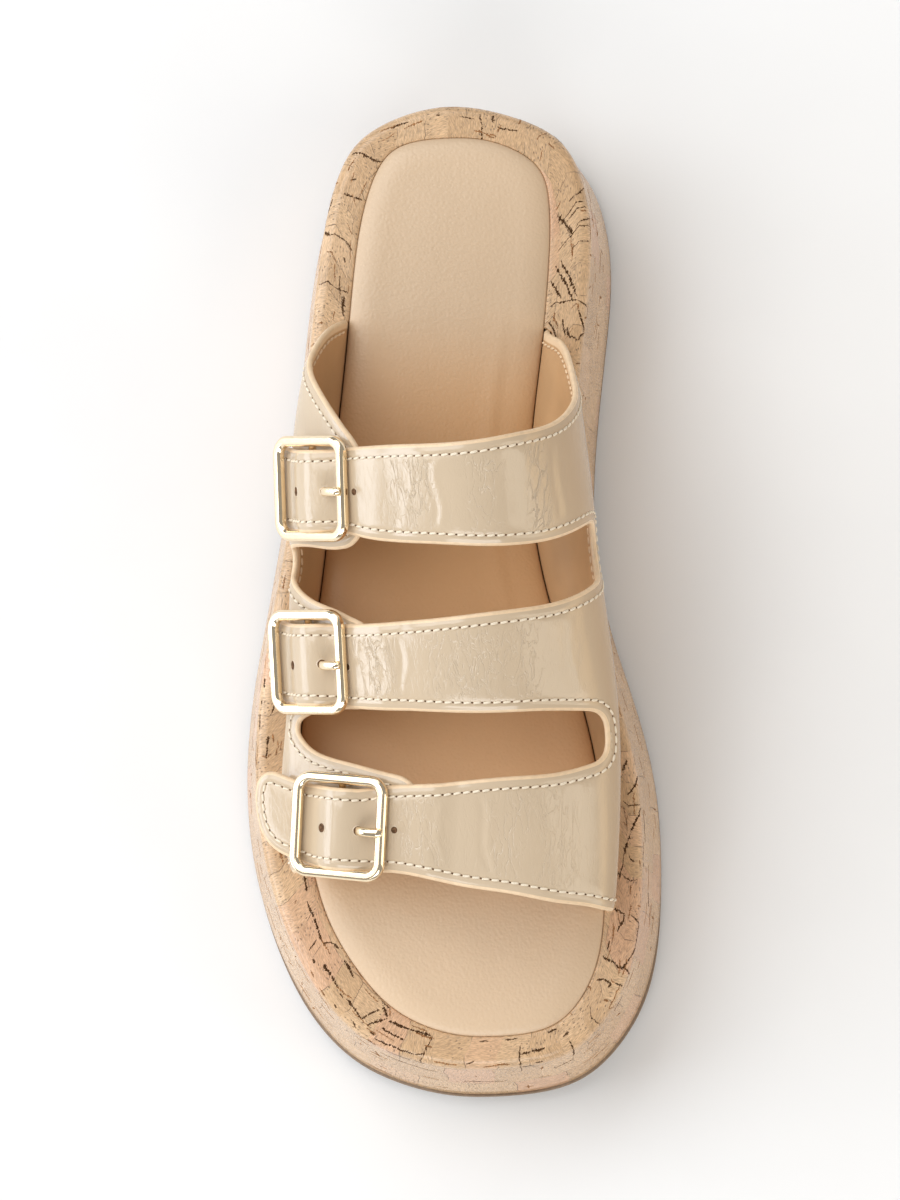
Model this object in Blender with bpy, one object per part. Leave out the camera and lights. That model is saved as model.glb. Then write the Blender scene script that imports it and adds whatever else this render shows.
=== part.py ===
"""Platform slide for the right foot, with three buckled straps over a cork-covered sole.

Sizes are millimetres and turn into metres where a mesh is written. x runs to the inner side of the foot,
y to the heel and z up. Heights in the section table are above the rim of the platform.
"""

import math

import bmesh
import bpy
import numpy as np

MM = 0.001
GAP = 0.3
WALL = 1.8
OUTSOLE_THICK = 4.0
FLARE = 4.6
RIM_ROUND = 3.2
RECESS = 5.0
INSOLE_PUFF = 1.2
INSOLE_ROUND = 2.6
ARCH_RISE = 2.2
ARCH_FROM_TO = (48.0, -8.0)
TOE_SPRING = 4.5
TOE_SPRING_FROM = -92.0
GROOVE_WIDTH = 3.0
GROOVE_DEPTH = 1.5
HEEL_GROOVES = (118.0, 107.0, 96.0, 85.0, 74.0)
BALL_GROOVES = (-18.0, -29.0, -40.0, -51.0, -62.0, -73.0, -84.0)
LAP = 1.2
BRIDGE = 5.1
BRIDGE_HALF = 11.0
LAP_RAMP = 9.0
REACH = 55.0
FLATTEN = 0.3
TIP_ROUND = 8.0
TIP_SWEEP = 3.2
FRAME_HALF = 12.4
FRAME_SHIFT = 0.7
FRAME_CORNER = 3.8
FRAME_WIDE = 2.8
FRAME_THICK = 2.4
FRAME_LEVEL = 4.9
BAR_LEVEL = 3.7
BAR_RADIUS = 1.0
SLOT_FROM_TO = (1.1, 7.8)
SLOT_WIDE = 2.9

# y, outer side x, inner side x
INSOLE_OUTLINE = (
    (122.0, 1.0, 1.0),
    (119.6, -13.0, 15.6),
    (113.6, -18.3, 24.6),
    (102.5, -22.3, 27.9),
    (85.0, -25.4, 27.2),
    (63.0, -28.0, 24.6),
    (39.0, -31.2, 21.2),
    (15.0, -34.2, 21.1),
    (-7.0, -37.6, 25.0),
    (-29.0, -41.6, 31.2),
    (-49.0, -42.9, 35.4),
    (-71.0, -40.9, 37.0),
    (-89.0, -36.2, 36.4),
    (-103.0, -28.3, 33.8),
    (-113.0, -19.0, 28.3),
    (-118.6, -8.1, 21.0),
    (-120.6, 6.5, 6.5),
)
RIM_OUTLINE = (
    (131.5, 1.5, 1.5),
    (128.2, -14.2, 18.0),
    (121.0, -24.7, 31.0),
    (109.0, -30.5, 37.2),
    (93.0, -34.2, 39.0),
    (72.0, -37.2, 37.0),
    (46.0, -40.4, 33.6),
    (20.0, -44.6, 32.2),
    (-6.0, -50.0, 35.2),
    (-30.0, -54.2, 41.8),
    (-52.0, -55.4, 46.4),
    (-74.0, -52.9, 47.2),
    (-94.0, -46.6, 45.3),
    (-110.0, -37.8, 40.2),
    (-121.0, -26.3, 32.2),
    (-127.0, -12.0, 22.5),
    (-129.0, 4.5, 4.5),
)

# y, height of the rim
DECK = (
    (136.0, 44.0),
    (90.0, 43.0),
    (45.0, 40.0),
    (0.0, 36.4),
    (-45.0, 34.3),
    (-90.0, 34.4),
    (-134.0, 37.0),
)

# y, then x and height of: outer wall, outer shoulder, top, inner shoulder, inner wall
SECTIONS = (
    (78.0, -28.0, 14.0, -31.0, 34.0, 4.0, 85.0, 34.0, 50.0, 30.0, 16.0),
    (48.0, -37.0, 14.0, -38.5, 28.0, 6.0, 79.0, 33.5, 46.0, 32.0, 15.0),
    (20.0, -39.5, 13.0, -42.0, 24.5, 7.0, 70.0, 35.5, 43.0, 35.0, 15.0),
    (-8.0, -41.3, 11.0, -42.4, 18.5, 5.0, 60.0, 38.0, 37.0, 37.0, 13.0),
    (-35.0, -44.0, 8.5, -43.4, 13.0, 5.0, 50.0, 40.5, 30.0, 39.6, 11.0),
    (-62.0, -44.6, 7.5, -46.3, 12.8, 8.0, 38.0, 40.5, 25.0, 39.2, 9.5),
    (-95.0, -37.0, 7.0, -40.0, 11.0, 9.0, 30.0, 38.0, 21.0, 36.0, 8.5),
)

# v, then y of the back and front edges of the rear, middle and front straps
STRAP_EDGES = (
    (3.60, 29.2, 10.2, -13.7, -32.9, -57.8, -77.2),
    (3.80, 28.4, 9.0, -15.2, -34.8, -57.8, -77.4),
    (4.05, 26.6, 4.8, -16.8, -37.0, -57.6, -78.6),
    (4.30, 24.9, 2.3, -17.6, -38.8, -58.0, -82.2),
    (4.65, 24.8, 0.6, -17.1, -40.0, -57.5, -85.3),
    (5.00, 27.5, 1.6, -15.3, -39.5, -56.7, -87.8),
    (5.30, 31.2, 4.5, -12.4, -39.0, -54.5, -88.6),
    (5.60, 36.7, 8.0, -8.8, -38.7, -52.3, -89.4),
    (6.00, 45.5, 11.0, -5.2, -38.7, -51.0, -89.2),
    (6.40, 56.0, 11.0, -5.2, -38.7, -51.0, -88.7),
    (7.00, 63.0, 11.0, -5.2, -38.7, -51.0, -88.0),
    (8.00, 67.0, 11.0, -5.2, -38.7, -51.0, -87.0),
    (9.00, 68.0, 11.0, -5.2, -38.7, -51.0, -86.5),
)
# v, then y of the back and front edges of the rear, middle and front tabs
TAB_EDGES = (
    (0.00, 72.5, 9.5, 2.0, -35.6, -41.5, -73.6),
    (1.30, 71.5, 9.5, 2.0, -35.6, -41.5, -74.0),
    (2.00, 68.0, 9.5, 2.0, -35.6, -41.5, -74.6),
    (2.50, 62.5, 9.5, 2.0, -35.6, -41.5, -75.2),
    (3.00, 55.2, 9.3, 0.2, -35.6, -41.5, -75.8),
    (3.30, 52.0, 8.5, -4.0, -35.4, -42.0, -76.2),
    (3.55, 46.0, 7.0, -8.3, -35.0, -46.6, -76.6),
    (3.75, 36.8, 5.2, -11.8, -35.0, -49.7, -76.8),
    (3.90, 29.0, 5.0, -15.2, -36.0, -52.0, -77.0),
    (4.05, 27.5, 5.0, -16.5, -37.4, -54.7, -77.8),
    (4.25, 26.0, 5.0, -17.5, -38.6, -57.2, -80.2),
)
STRAP_GAP_ENDS = ((6.08, 0.42), (5.66, 0.30))
TAB_GAP_ENDS = ((2.85, 0.50), (3.28, 0.24))

# name, v where the strap leaves the foot, its slant to the heel in degrees, way to the buckle's middle,
# way on to the tip, bend of the tip in degrees, v of the tab's end
STRAPS = (
    ("rear", 3.74, 10.0, 5.5, 25.0, 36.0, 3.94),
    ("middle", 3.62, 8.0, 2.6, 24.0, 38.0, 3.99),
    ("front", 3.90, 9.5, 6.3, 25.5, 4.0, 4.20),
)

CORK = (0.55, 0.33, 0.17)
RUBBER = (0.10, 0.075, 0.06)
SOCK = (0.52, 0.34, 0.22)
PATENT = (0.74, 0.62, 0.50)
GOLD = (0.83, 0.68, 0.45)


def table(rows, at):
    """The columns after the first as natural cubic splines of the first, at the places asked for."""
    rows = np.asarray(rows, float)
    rows = rows[np.argsort(rows[:, 0])]
    knots = rows[:, 0]
    values = rows[:, 1:]
    at = np.clip(np.asarray(at, float), knots[0], knots[-1])
    step = np.diff(knots)[:, None]
    rise = np.diff(values, axis=0) / step
    count = len(knots)
    system = np.eye(count)
    right = np.zeros_like(values)
    for i in range(1, count - 1):
        system[i, i - 1 : i + 2] = (step[i - 1, 0], 2 * (step[i - 1, 0] + step[i, 0]), step[i, 0])
        right[i] = 6 * (rise[i] - rise[i - 1])
    bend = np.linalg.solve(system, right)
    i = np.clip(np.searchsorted(knots, at) - 1, 0, count - 2)
    h = step[i]
    left = (knots[i + 1] - at)[:, None] / h
    rest = 1 - left
    curve = left * values[i] + rest * values[i + 1]
    return curve + ((left**3 - left) * bend[i] + (rest**3 - rest) * bend[i + 1]) * h**2 / 6


def smooth(share):
    """Soft step from 0 to 1."""
    share = np.clip(share, 0, 1)
    return share * share * (3 - 2 * share)


def sides(rows, places):
    """Outer and inner side points of an outline, at shares of the way from heel to toe."""
    rows = np.asarray(rows, float)
    outer = rows[:, (1, 0)]
    inner = rows[:, (2, 0)]
    chords = np.linalg.norm(np.diff((outer, inner), axis=1), axis=2).sum(axis=0)
    knots = np.concatenate(([0], np.cumsum(chords) / 2))
    length = knots[-1]
    loop = np.concatenate((inner, outer[-2:0:-1]))
    turns = np.concatenate((knots, 2 * length - knots[-2:0:-1]))
    turns = np.concatenate((turns - 2 * length, turns, turns + 2 * length))
    loop = np.concatenate((loop, loop, loop))
    closed = np.column_stack((turns, loop))
    places = np.asarray(places, float) * length
    return table(closed, 2 * length - places), table(closed, places)


def ring(rows, places):
    """The outline as one loop: heel, inner side, toe, outer side."""
    outer, inner = sides(rows, places)
    return np.concatenate((inner, outer[-2:0:-1]))


def grown(loop, by):
    """A loop moved outwards by one distance or by one a point."""
    along = np.roll(loop, -1, axis=0) - np.roll(loop, 1, axis=0)
    out = np.column_stack((-along[:, 1], along[:, 0]))
    out /= np.linalg.norm(out, axis=1)[:, None]
    return loop + out * np.broadcast_to(by, len(loop))[:, None]


def deck(y):
    return table(DECK, y)[:, 0]


def ground(y):
    """Height of the walking face: flat at heel and ball, a low arch between them, toe spring in front."""
    share = (np.asarray(y) - ARCH_FROM_TO[1]) / (ARCH_FROM_TO[0] - ARCH_FROM_TO[1])
    arch = ARCH_RISE * np.sin(np.pi * np.clip(share, 0, 1)) ** 2
    spring = np.clip((TOE_SPRING_FROM - np.asarray(y)) / 42.0, 0, None)
    return arch + TOE_SPRING * spring**2


EDGE = grown(ring(INSOLE_OUTLINE, np.linspace(0, 1, 241)), GAP)
EDGE_OUTER = EDGE[:239:-1][np.argsort(EDGE[:239:-1, 1])]
EDGE_INNER = EDGE[:241][np.argsort(EDGE[:241, 1])]


def section(y):
    """Control points of the foot's section, from the outer base over the top to the inner base."""
    y = np.asarray(y, float)
    level = deck(y)
    outer = np.interp(y, EDGE_OUTER[:, 1], EDGE_OUTER[:, 0])
    inner = np.interp(y, EDGE_INNER[:, 1], EDGE_INNER[:, 0])
    middle = table(SECTIONS, y).reshape(-1, 5, 2)
    points = np.empty((len(y), 11, 2))
    for i, height in enumerate((GAP - RECESS, -2.0, 3.0)):
        points[:, i] = np.column_stack((outer, np.full_like(y, height)))
        points[:, 10 - i] = np.column_stack((inner, np.full_like(y, height)))
    points[:, 3:8] = middle
    points[:, :, 1] += level[:, None]
    return points


def last(v, y):
    """Point of the foot's surface: v runs 0 to 9 round the section at y, a quadratic spline of its points."""
    v, y = np.broadcast_arrays(np.asarray(v, float), np.asarray(y, float))
    shape = v.shape
    v = v.ravel()
    y = y.ravel()
    points = section(y)
    row = np.arange(len(v))
    i = np.clip(v.astype(int), 0, 8)
    t = (v - i)[:, None]
    corner = points[row, i + 1]
    start = np.where((i == 0)[:, None], points[row, 0], (points[row, i] + corner) / 2)
    end = np.where((i == 8)[:, None], points[row, 10], (corner + points[row, i + 2]) / 2)
    at = (1 - t) ** 2 * start + 2 * t * (1 - t) * corner + t**2 * end
    return np.column_stack((at[:, 0], y, at[:, 1])).reshape(shape + (3,))


def outward(surface, v, y):
    """Unit normals of a surface of v and y."""
    dv = surface(v + 0.004, y) - surface(v - 0.004, y)
    dy = surface(v, y + 0.05) - surface(v, y - 0.05)
    normal = np.cross(dv, dy)
    return normal / np.linalg.norm(normal, axis=-1, keepdims=True)


def strap_axes(k):
    """Where strap k leaves the foot, its ways down, across and out, that line's run a mm of y, and its y."""
    leave = STRAPS[k][1]
    back, front = table(STRAP_EDGES, [leave])[0, 2 * k : 2 * k + 2]
    middle = (back + front) / 2
    v = np.array([leave - 0.004, leave + 0.004, leave, leave, leave])
    y = np.array([middle, middle, middle - 1, middle + 1, middle])
    at = last(v, y)
    down = at[0] - at[1]
    down /= np.linalg.norm(down)
    across = at[3] - at[2]
    across -= down * (across @ down)
    across /= np.linalg.norm(across)
    cos = math.cos(math.radians(STRAPS[k][2]))
    sin = math.sin(math.radians(STRAPS[k][2]))
    down, across = down * cos + across * sin, across * cos - down * sin
    return at[4], down, across, np.cross(across, down), (at[3] - at[2]) / 2, middle


def lift(way, tab_end):
    """Height of a strap's underside over the foot, at a way inwards from the buckle's middle."""
    lap = LAP * smooth((tab_end + LAP_RAMP + 1 - way) / LAP_RAMP)
    bridge = np.cos(np.pi / 2 * np.clip(way / BRIDGE_HALF, -1, 1)) ** 2
    return lap + (BRIDGE - LAP) * bridge


def strap_surface(k):
    """Strap k's underside: on the foot down to where it leaves it, then straight on, with its tip bent down."""
    name, leave, slant, seat, tip, bend, tab_v = STRAPS[k]
    base, down, across, up, run, middle = strap_axes(k)
    ways = np.linspace(0, seat + tip + 5, 400)
    turns = math.radians(bend) * smooth((ways - seat - 9) / 9)
    along = np.concatenate(([0], np.cumsum(np.cos(turns[1:])))) * ways[1]
    fall = np.concatenate(([0], np.cumsum(np.sin(turns[1:])))) * ways[1]
    tab_end = seat + (tab_v - leave) * REACH

    def surface(v, y):
        v, y = np.broadcast_arrays(np.asarray(v, float), np.asarray(y, float))
        on = np.maximum(v, leave)
        way = (leave - np.minimum(v, leave)) * REACH
        turn = np.interp(way, ways, turns)[..., None]
        flat = smooth(1 - (on - leave) / FLATTEN)[..., None]
        free = np.cos(turn) * up + np.sin(turn) * down
        normal = flat * free + (1 - flat) * outward(last, on, y)
        inwards = seat - way + (on - leave) * REACH - (y - middle) * (run @ down)
        point = last(on, y) + flat * (base + (y - middle)[..., None] * run - last(leave, y))
        point = point + np.interp(way, ways, along)[..., None] * down
        point = point - np.interp(way, ways, fall)[..., None] * up
        point = point + TIP_SWEEP * smooth((way - seat - 7) / 18)[..., None] * across
        return point + lift(inwards, tab_end)[..., None] * normal

    return surface


def comb_edges(rows, ends, sign, v, tips, rounds):
    """Back and front edges of three teeth at v: gaps close at their ends and tips are rounded."""
    edges = np.empty((len(v), 3, 2))
    for k in range(3):
        held = np.maximum(v, STRAPS[k][1]) if sign > 0 else v
        edges[:, k] = table(rows, held)[:, 2 * k : 2 * k + 2]
    for gap, (end, length) in enumerate(ends):
        share = np.clip(sign * (v - end) / length + 1, 0, 1)
        open_by = (1 - share**2.5) ** 0.4
        middle = (edges[:, gap, 1] + edges[:, gap + 1, 0]) / 2
        edges[:, gap, 1] = middle + (edges[:, gap, 1] - middle) * open_by
        edges[:, gap + 1, 0] = middle + (edges[:, gap + 1, 0] - middle) * open_by
    for k in range(3):
        share = np.clip(1 - sign * (v - tips[k]) / rounds[k], 0, 1)
        middle = edges[:, k].mean(axis=1, keepdims=True)
        edges[:, k] = middle + (edges[:, k] - middle) * ((1 - share**2.5) ** 0.4)[:, None]
    return edges


def comb(surfaces, rows, ends, sign, tooth_rows, tips, rounds, columns):
    """Inner and outer points and faces of a sheet of three teeth joined past the ends of their gaps."""
    keys = []
    inner = []
    outer = []
    faces = []
    share = np.linspace(0, 1, columns + 1)
    start = 0
    for k in range(3):
        v = tooth_rows[k]
        edges = comb_edges(rows, ends, sign, v, tips, rounds)[:, k]
        y = edges[:, :1] + (edges[:, 1:] - edges[:, :1]) * share
        grid = np.repeat(v[:, None], columns + 1, axis=1)
        point = surfaces[k](grid, y)
        keys.append(np.column_stack((grid.ravel(), y.ravel())))
        inner.append(point.reshape(-1, 3))
        outer.append((point + WALL * outward(surfaces[k], grid, y)).reshape(-1, 3))
        index = np.arange(grid.size).reshape(grid.shape) + start
        quads = np.stack((index[:-1, :-1], index[1:, :-1], index[1:, 1:], index[:-1, 1:]), axis=-1)
        faces.append(quads.reshape(-1, 4))
        start += grid.size
    keys = np.round(np.concatenate(keys), 4)
    _, first, index = np.unique(keys, axis=0, return_index=True, return_inverse=True)
    faces = index.reshape(-1)[np.concatenate(faces)]
    return np.concatenate(inner)[first], np.concatenate(outer)[first], faces


def sheet_solid(inner, outer, faces):
    """Points and faces of the closed body between two sheets with the same faces."""
    count = len(inner)
    clean = []
    for face in faces.tolist():
        corners = [c for i, c in enumerate(face) if c != face[i - 1]]
        if len(corners) > 2:
            clean.append(corners)
    seen = {}
    for corners in clean:
        for i, b in enumerate(corners):
            seen[(corners[i - 1], b)] = True
    rim = [(a, b) for a, b in seen if (b, a) not in seen]
    closed = [[c + count for c in corners] for corners in clean]
    closed += [corners[::-1] for corners in clean]
    closed += [[b, a, a + count, b + count] for a, b in rim]
    return np.concatenate((inner, outer)), closed


def rod(path, across, wide, high, sides_count, shut):
    """A rounded rod along a path: its section is wide along the path's side and high along across."""
    path = np.asarray(path, float)
    if shut:
        along = np.roll(path, -1, axis=0) - np.roll(path, 1, axis=0)
    else:
        along = np.gradient(path, axis=0)
    along /= np.linalg.norm(along, axis=1)[:, None]
    side = np.cross(along, across)
    side /= np.linalg.norm(side, axis=1)[:, None]
    lift_axis = np.cross(side, along)
    wide = np.broadcast_to(wide, len(path))[:, None, None]
    high = np.broadcast_to(high, len(path))[:, None, None]
    turn = 2 * np.pi * (np.arange(sides_count) + 0.5) / sides_count
    c = np.sign(np.cos(turn)) * np.abs(np.cos(turn)) ** 0.75
    s = np.sign(np.sin(turn)) * np.abs(np.sin(turn)) ** 0.75
    points = path[:, None] + side[:, None] * (wide / 2 * c[None, :, None])
    points = points + lift_axis[:, None] * (high / 2 * s[None, :, None])
    rows = len(path)
    faces = []
    for i in range(rows if shut else rows - 1):
        for j in range(sides_count):
            a = i * sides_count + j
            b = i * sides_count + (j + 1) % sides_count
            step = ((i + 1) % rows - i) * sides_count
            faces.append([a, b, b + step, a + step])
    if not shut:
        faces.append(list(range(sides_count)))
        faces.append(list(range((rows - 1) * sides_count, rows * sides_count)))
    return points.reshape(-1, 3), faces


def loft(rings):
    """Points and faces of a body whose skin runs through the rings, both end rings closed straight across."""
    count = len(rings[0])
    faces = []
    for r in range(len(rings) - 1):
        for i in range(count):
            j = (i + 1) % count
            faces.append([r * count + i, r * count + j, (r + 1) * count + j, (r + 1) * count + i])
    for base in (0, (len(rings) - 1) * count):
        for i in range(count // 2):
            corners = [i, i + 1, (count - i - 1) % count, (count - i) % count]
            corners = [base + c for c in dict.fromkeys(corners)]
            faces.append(corners)
    return np.concatenate(rings), faces


def level_ring(loop, z):
    return np.column_stack((loop, np.broadcast_to(z, len(loop))))


def put(name, points, faces, colour):
    """A mesh object in metres, its skin facing out, with a material of its own."""
    mesh = bpy.data.meshes.new(name)
    mesh.from_pydata(((np.asarray(points) - CENTRE) * MM).tolist(), [], faces)
    work = bmesh.new()
    work.from_mesh(mesh)
    bmesh.ops.recalc_face_normals(work, faces=work.faces)
    work.to_mesh(mesh)
    work.free()
    made = bpy.data.objects.new(name, mesh)
    bpy.context.scene.collection.objects.link(made)
    material = bpy.data.materials.new(name)
    material.use_nodes = True
    material.node_tree.nodes["Principled BSDF"].inputs["Base Color"].default_value = (*colour, 1.0)
    mesh.materials.append(material)
    return made


def combine(made, other, operation):
    """A Boolean with a helper that stays out of the render."""
    step = made.modifiers.new(operation.lower(), "BOOLEAN")
    step.operation = operation
    step.solver = "EXACT"
    step.object = other
    other.hide_render = True
    other.display_type = "WIRE"


def slot_growth(loop):
    """How far the recess stands off the insole: room for the upper's wall where a quarter goes down beside it."""
    y = loop[:, 1]
    inner = loop[:, 0] > table([(r[0], (r[1] + r[2]) / 2) for r in INSOLE_OUTLINE], y)[:, 0]
    back = np.where(inner, STRAP_EDGES[-1][1], TAB_EDGES[0][1])
    front = np.where(inner, STRAP_EDGES[-1][6], TAB_EDGES[0][6])
    share = smooth((back + 5.5 - y) / 4) * smooth((y - front + 5.5) / 4)
    return GAP + (WALL + 2 * GAP) * share


def build_outsole():
    dense = np.linspace(0, 1, 2001)
    y_of = sides(RIM_OUTLINE, dense)[0][:, 1]
    places = list(np.linspace(0, 1, 41))
    grooves = HEEL_GROOVES + BALL_GROOVES
    for y in grooves:
        half = GROOVE_WIDTH / 2
        edges = y + np.array([half, half - 0.5, 0.5 - half, -half])
        cuts = np.interp(-edges, -y_of, dense)
        places = [p for p in places if not cuts[0] - 0.004 < p < cuts[3] + 0.004] + list(cuts)
    rim = ring(RIM_OUTLINE, np.sort(places))
    middle = rim[:, 1]
    depth = np.zeros(len(rim))
    for y in grooves:
        depth = np.where(np.abs(middle - y) < GROOVE_WIDTH / 2 - 0.25, GROOVE_DEPTH, depth)
    floor = ground(middle)
    rings = [
        level_ring(grown(rim, FLARE - 1.6), floor + depth),
        level_ring(grown(rim, FLARE - 0.2), floor + 2.2),
        level_ring(grown(rim, FLARE - 0.4), floor + OUTSOLE_THICK),
    ]
    put("outsole", *loft(rings), RUBBER)


def build_platform():
    places = np.linspace(0, 1, 49)
    rim = ring(RIM_OUTLINE, places)
    bed = ring(INSOLE_OUTLINE, places)
    base = ground(rim[:, 1]) + OUTSOLE_THICK + GAP
    top = deck(rim[:, 1])
    tall = top - RIM_ROUND - base
    recess = grown(bed, slot_growth(bed))
    level = deck(recess[:, 1])
    rings = [
        level_ring(grown(rim, FLARE - 1.0), base),
        level_ring(grown(rim, FLARE), base + 1.0),
        level_ring(grown(rim, FLARE * 0.42), base + tall * 0.5),
        level_ring(rim, top - RIM_ROUND),
        level_ring(grown(rim, -0.9), top - RIM_ROUND * 0.32),
        level_ring(grown(rim, -RIM_ROUND), top),
        level_ring(recess, level - 0.2),
        level_ring(recess, level - RECESS),
    ]
    put("platform", *loft(rings), CORK)


def build_insole():
    places = np.linspace(0, 1, 41)
    bed = ring(INSOLE_OUTLINE, places)
    y = bed[:, 1]
    level = deck(y)
    floor = level - RECESS + GAP
    rings = [
        level_ring(bed, floor),
        level_ring(bed, level + INSOLE_PUFF - INSOLE_ROUND),
        level_ring(grown(bed, -0.3 * INSOLE_ROUND), level + INSOLE_PUFF - 0.29 * INSOLE_ROUND),
        level_ring(grown(bed, -INSOLE_ROUND), level + INSOLE_PUFF),
    ]
    put("insole", *loft(rings), SOCK)


def build_upper():
    straps = [strap_surface(k) for k in range(3)]
    shared = [4.6, 4.85, 5.1, 5.3, 5.42, 5.52, 5.6, 5.645, 5.66, 5.75, 5.87, 5.97, 6.04, 6.07, 6.08]
    shared += [6.3, 6.6, 7.0, 7.4, 8.0, 9.0]
    tooth_rows = []
    tips = []
    for name, leave, slant, seat, tip, bend, tab_v in STRAPS:
        inwards = [TIP_ROUND * s - tip for s in (0, 0.06, 0.22, 0.5, 1.0)]
        inwards += [-13.0, -9.5, -6.5, -3.0, 0.0, 3.0, 6.5, 9.5]
        own = [leave + (way - seat) / REACH for way in inwards]
        own += list(np.linspace(leave + (12.0 - seat) / REACH, 4.6, 6)[:-1])
        tooth_rows.append(np.array(own + shared))
        tips.append(own[0])
    strap_sheet = comb(straps, STRAP_EDGES, STRAP_GAP_ENDS, 1, tooth_rows, tips, [TIP_ROUND / REACH] * 3, 4)
    upper = put("upper", *sheet_solid(*strap_sheet), PATENT)

    shared = [0.0, 0.8, 1.5, 2.0, 2.35, 2.6, 2.85, 2.87, 2.93, 3.02, 3.15, 3.28, 3.29, 3.33, 3.4, 3.5]
    tooth_rows = []
    tips = [row[6] for row in STRAPS]
    for tip in tips:
        own = [3.6, 3.7] + [tip - 0.14 * s for s in (1.0, 0.5, 0.22, 0.06, 0)]
        tooth_rows.append(np.array(shared + own))
    tab_sheet = comb([last] * 3, TAB_EDGES, TAB_GAP_ENDS, -1, tooth_rows, tips, [0.14] * 3, 4)
    tabs = put("tabs_helper", *sheet_solid(*tab_sheet), PATENT)
    combine(upper, tabs, "UNION")

    for k in range(3):
        base, down, across, up = buckle_axes(k)
        u0, u1 = SLOT_FROM_TO
        corners = []
        for h in (2.1, 11.0):
            for u, a in ((u0, -1), (u0, 1), (u1, 1), (u1, -1)):
                corners.append(base - down * u + across * a * SLOT_WIDE / 2 + up * h)
        faces = [[0, 1, 2, 3], [4, 5, 6, 7], [0, 1, 5, 4], [1, 2, 6, 5], [2, 3, 7, 6], [3, 0, 4, 7]]
        slot = put(f"slot_helper_{STRAPS[k][0]}", np.array(corners), faces, PATENT)
        combine(upper, slot, "DIFFERENCE")


def buckle_axes(k):
    base, down, across, up = strap_axes(k)[:4]
    return base + down * STRAPS[k][3], down, across, up


def build_buckle(k):
    base, down, across, up = buckle_axes(k)
    name = STRAPS[k][0]
    inwards = -down
    middle = base + across * FRAME_SHIFT
    corner = FRAME_HALF - FRAME_CORNER
    path = []
    for quarter in range(4):
        for step in range(6):
            turn = math.pi / 2 * (quarter + step / 5)
            cx = corner * (1 if quarter in (0, 3) else -1)
            cy = corner * (1 if quarter in (0, 1) else -1)
            u = cx + FRAME_CORNER * math.cos(turn)
            a = cy + FRAME_CORNER * math.sin(turn)
            path.append(middle + inwards * u + across * a + up * FRAME_LEVEL)
    frame = put(f"buckle_frame_{name}", *rod(path, up, FRAME_WIDE, FRAME_THICK, 8, True), GOLD)
    half = FRAME_HALF
    ends = ((-half, FRAME_LEVEL), (-half + 0.5, BAR_LEVEL + 0.4), (-half + 1.3, BAR_LEVEL))
    ends += ((half - 1.3, BAR_LEVEL), (half - 0.5, BAR_LEVEL + 0.4), (half, FRAME_LEVEL))
    path = [middle + across * a + up * h for a, h in ends]
    bar = put(f"bar_helper_{name}", *rod(path, inwards, 2 * BAR_RADIUS, 2 * BAR_RADIUS, 8, False), GOLD)
    combine(frame, bar, "UNION")
    top = FRAME_LEVEL + FRAME_THICK / 2 + 0.4
    ends = ((1.4, BAR_LEVEL), (3.4, BAR_LEVEL + 0.4), (5.6, 5.3), (7.8, top + 0.8), (10.5, top + 1.0))
    ends += ((13.0, top + 0.85), (14.4, top + 0.7))
    path = [base + inwards * u + up * h for u, h in ends]
    size = np.array((1.8, 1.9, 2.0, 2.0, 2.0, 1.7, 1.1))
    put(f"buckle_prong_{name}", *rod(path, across, size, size, 8, False), GOLD)


BASE = grown(ring(RIM_OUTLINE, np.linspace(0, 1, 97)), FLARE)
CENTRE = np.append((BASE.max(axis=0) + BASE.min(axis=0)) / 2, 0.0)


def main():
    for left in list(bpy.data.objects):
        bpy.data.objects.remove(left)
    build_outsole()
    build_platform()
    build_insole()
    build_upper()
    for k in range(3):
        build_buckle(k)


if __name__ == "__main__":
    main()
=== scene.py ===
"""Looks of a three-strap buckle slide for the right foot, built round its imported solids.

Shapes are worked out in millimetres in the shoe's own frame: x to the inner side of the foot, y to the
heel and z up. They become metres about the part's origin where a mesh is written.
"""

import math

import bmesh
import bpy
import numpy as np
from bpy.props import FloatProperty, FloatVectorProperty, PointerProperty
from mathutils import Matrix, Vector


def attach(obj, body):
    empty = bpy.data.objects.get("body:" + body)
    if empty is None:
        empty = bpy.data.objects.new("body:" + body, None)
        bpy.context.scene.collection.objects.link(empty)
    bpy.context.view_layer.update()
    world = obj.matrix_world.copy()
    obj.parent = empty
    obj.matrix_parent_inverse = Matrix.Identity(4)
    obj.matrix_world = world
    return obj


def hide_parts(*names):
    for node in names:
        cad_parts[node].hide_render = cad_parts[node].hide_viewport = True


bl_info = {
    "name": "Buckle sandal",
    "version": (1, 0, 0),
    "blender": (4, 5, 0),
    "location": "View3D > Sidebar > Sandal",
    "description": "Cork platform, padded footbed, patent straps and polished buckles of one sandal",
    "category": "Object",
}

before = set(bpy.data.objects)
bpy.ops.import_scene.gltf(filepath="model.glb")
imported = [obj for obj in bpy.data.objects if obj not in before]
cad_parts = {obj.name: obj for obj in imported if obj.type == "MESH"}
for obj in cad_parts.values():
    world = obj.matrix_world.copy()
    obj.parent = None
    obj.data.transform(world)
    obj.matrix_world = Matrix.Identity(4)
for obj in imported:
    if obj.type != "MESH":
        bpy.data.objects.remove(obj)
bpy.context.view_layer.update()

MM = 0.001
BODY = "root"

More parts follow.
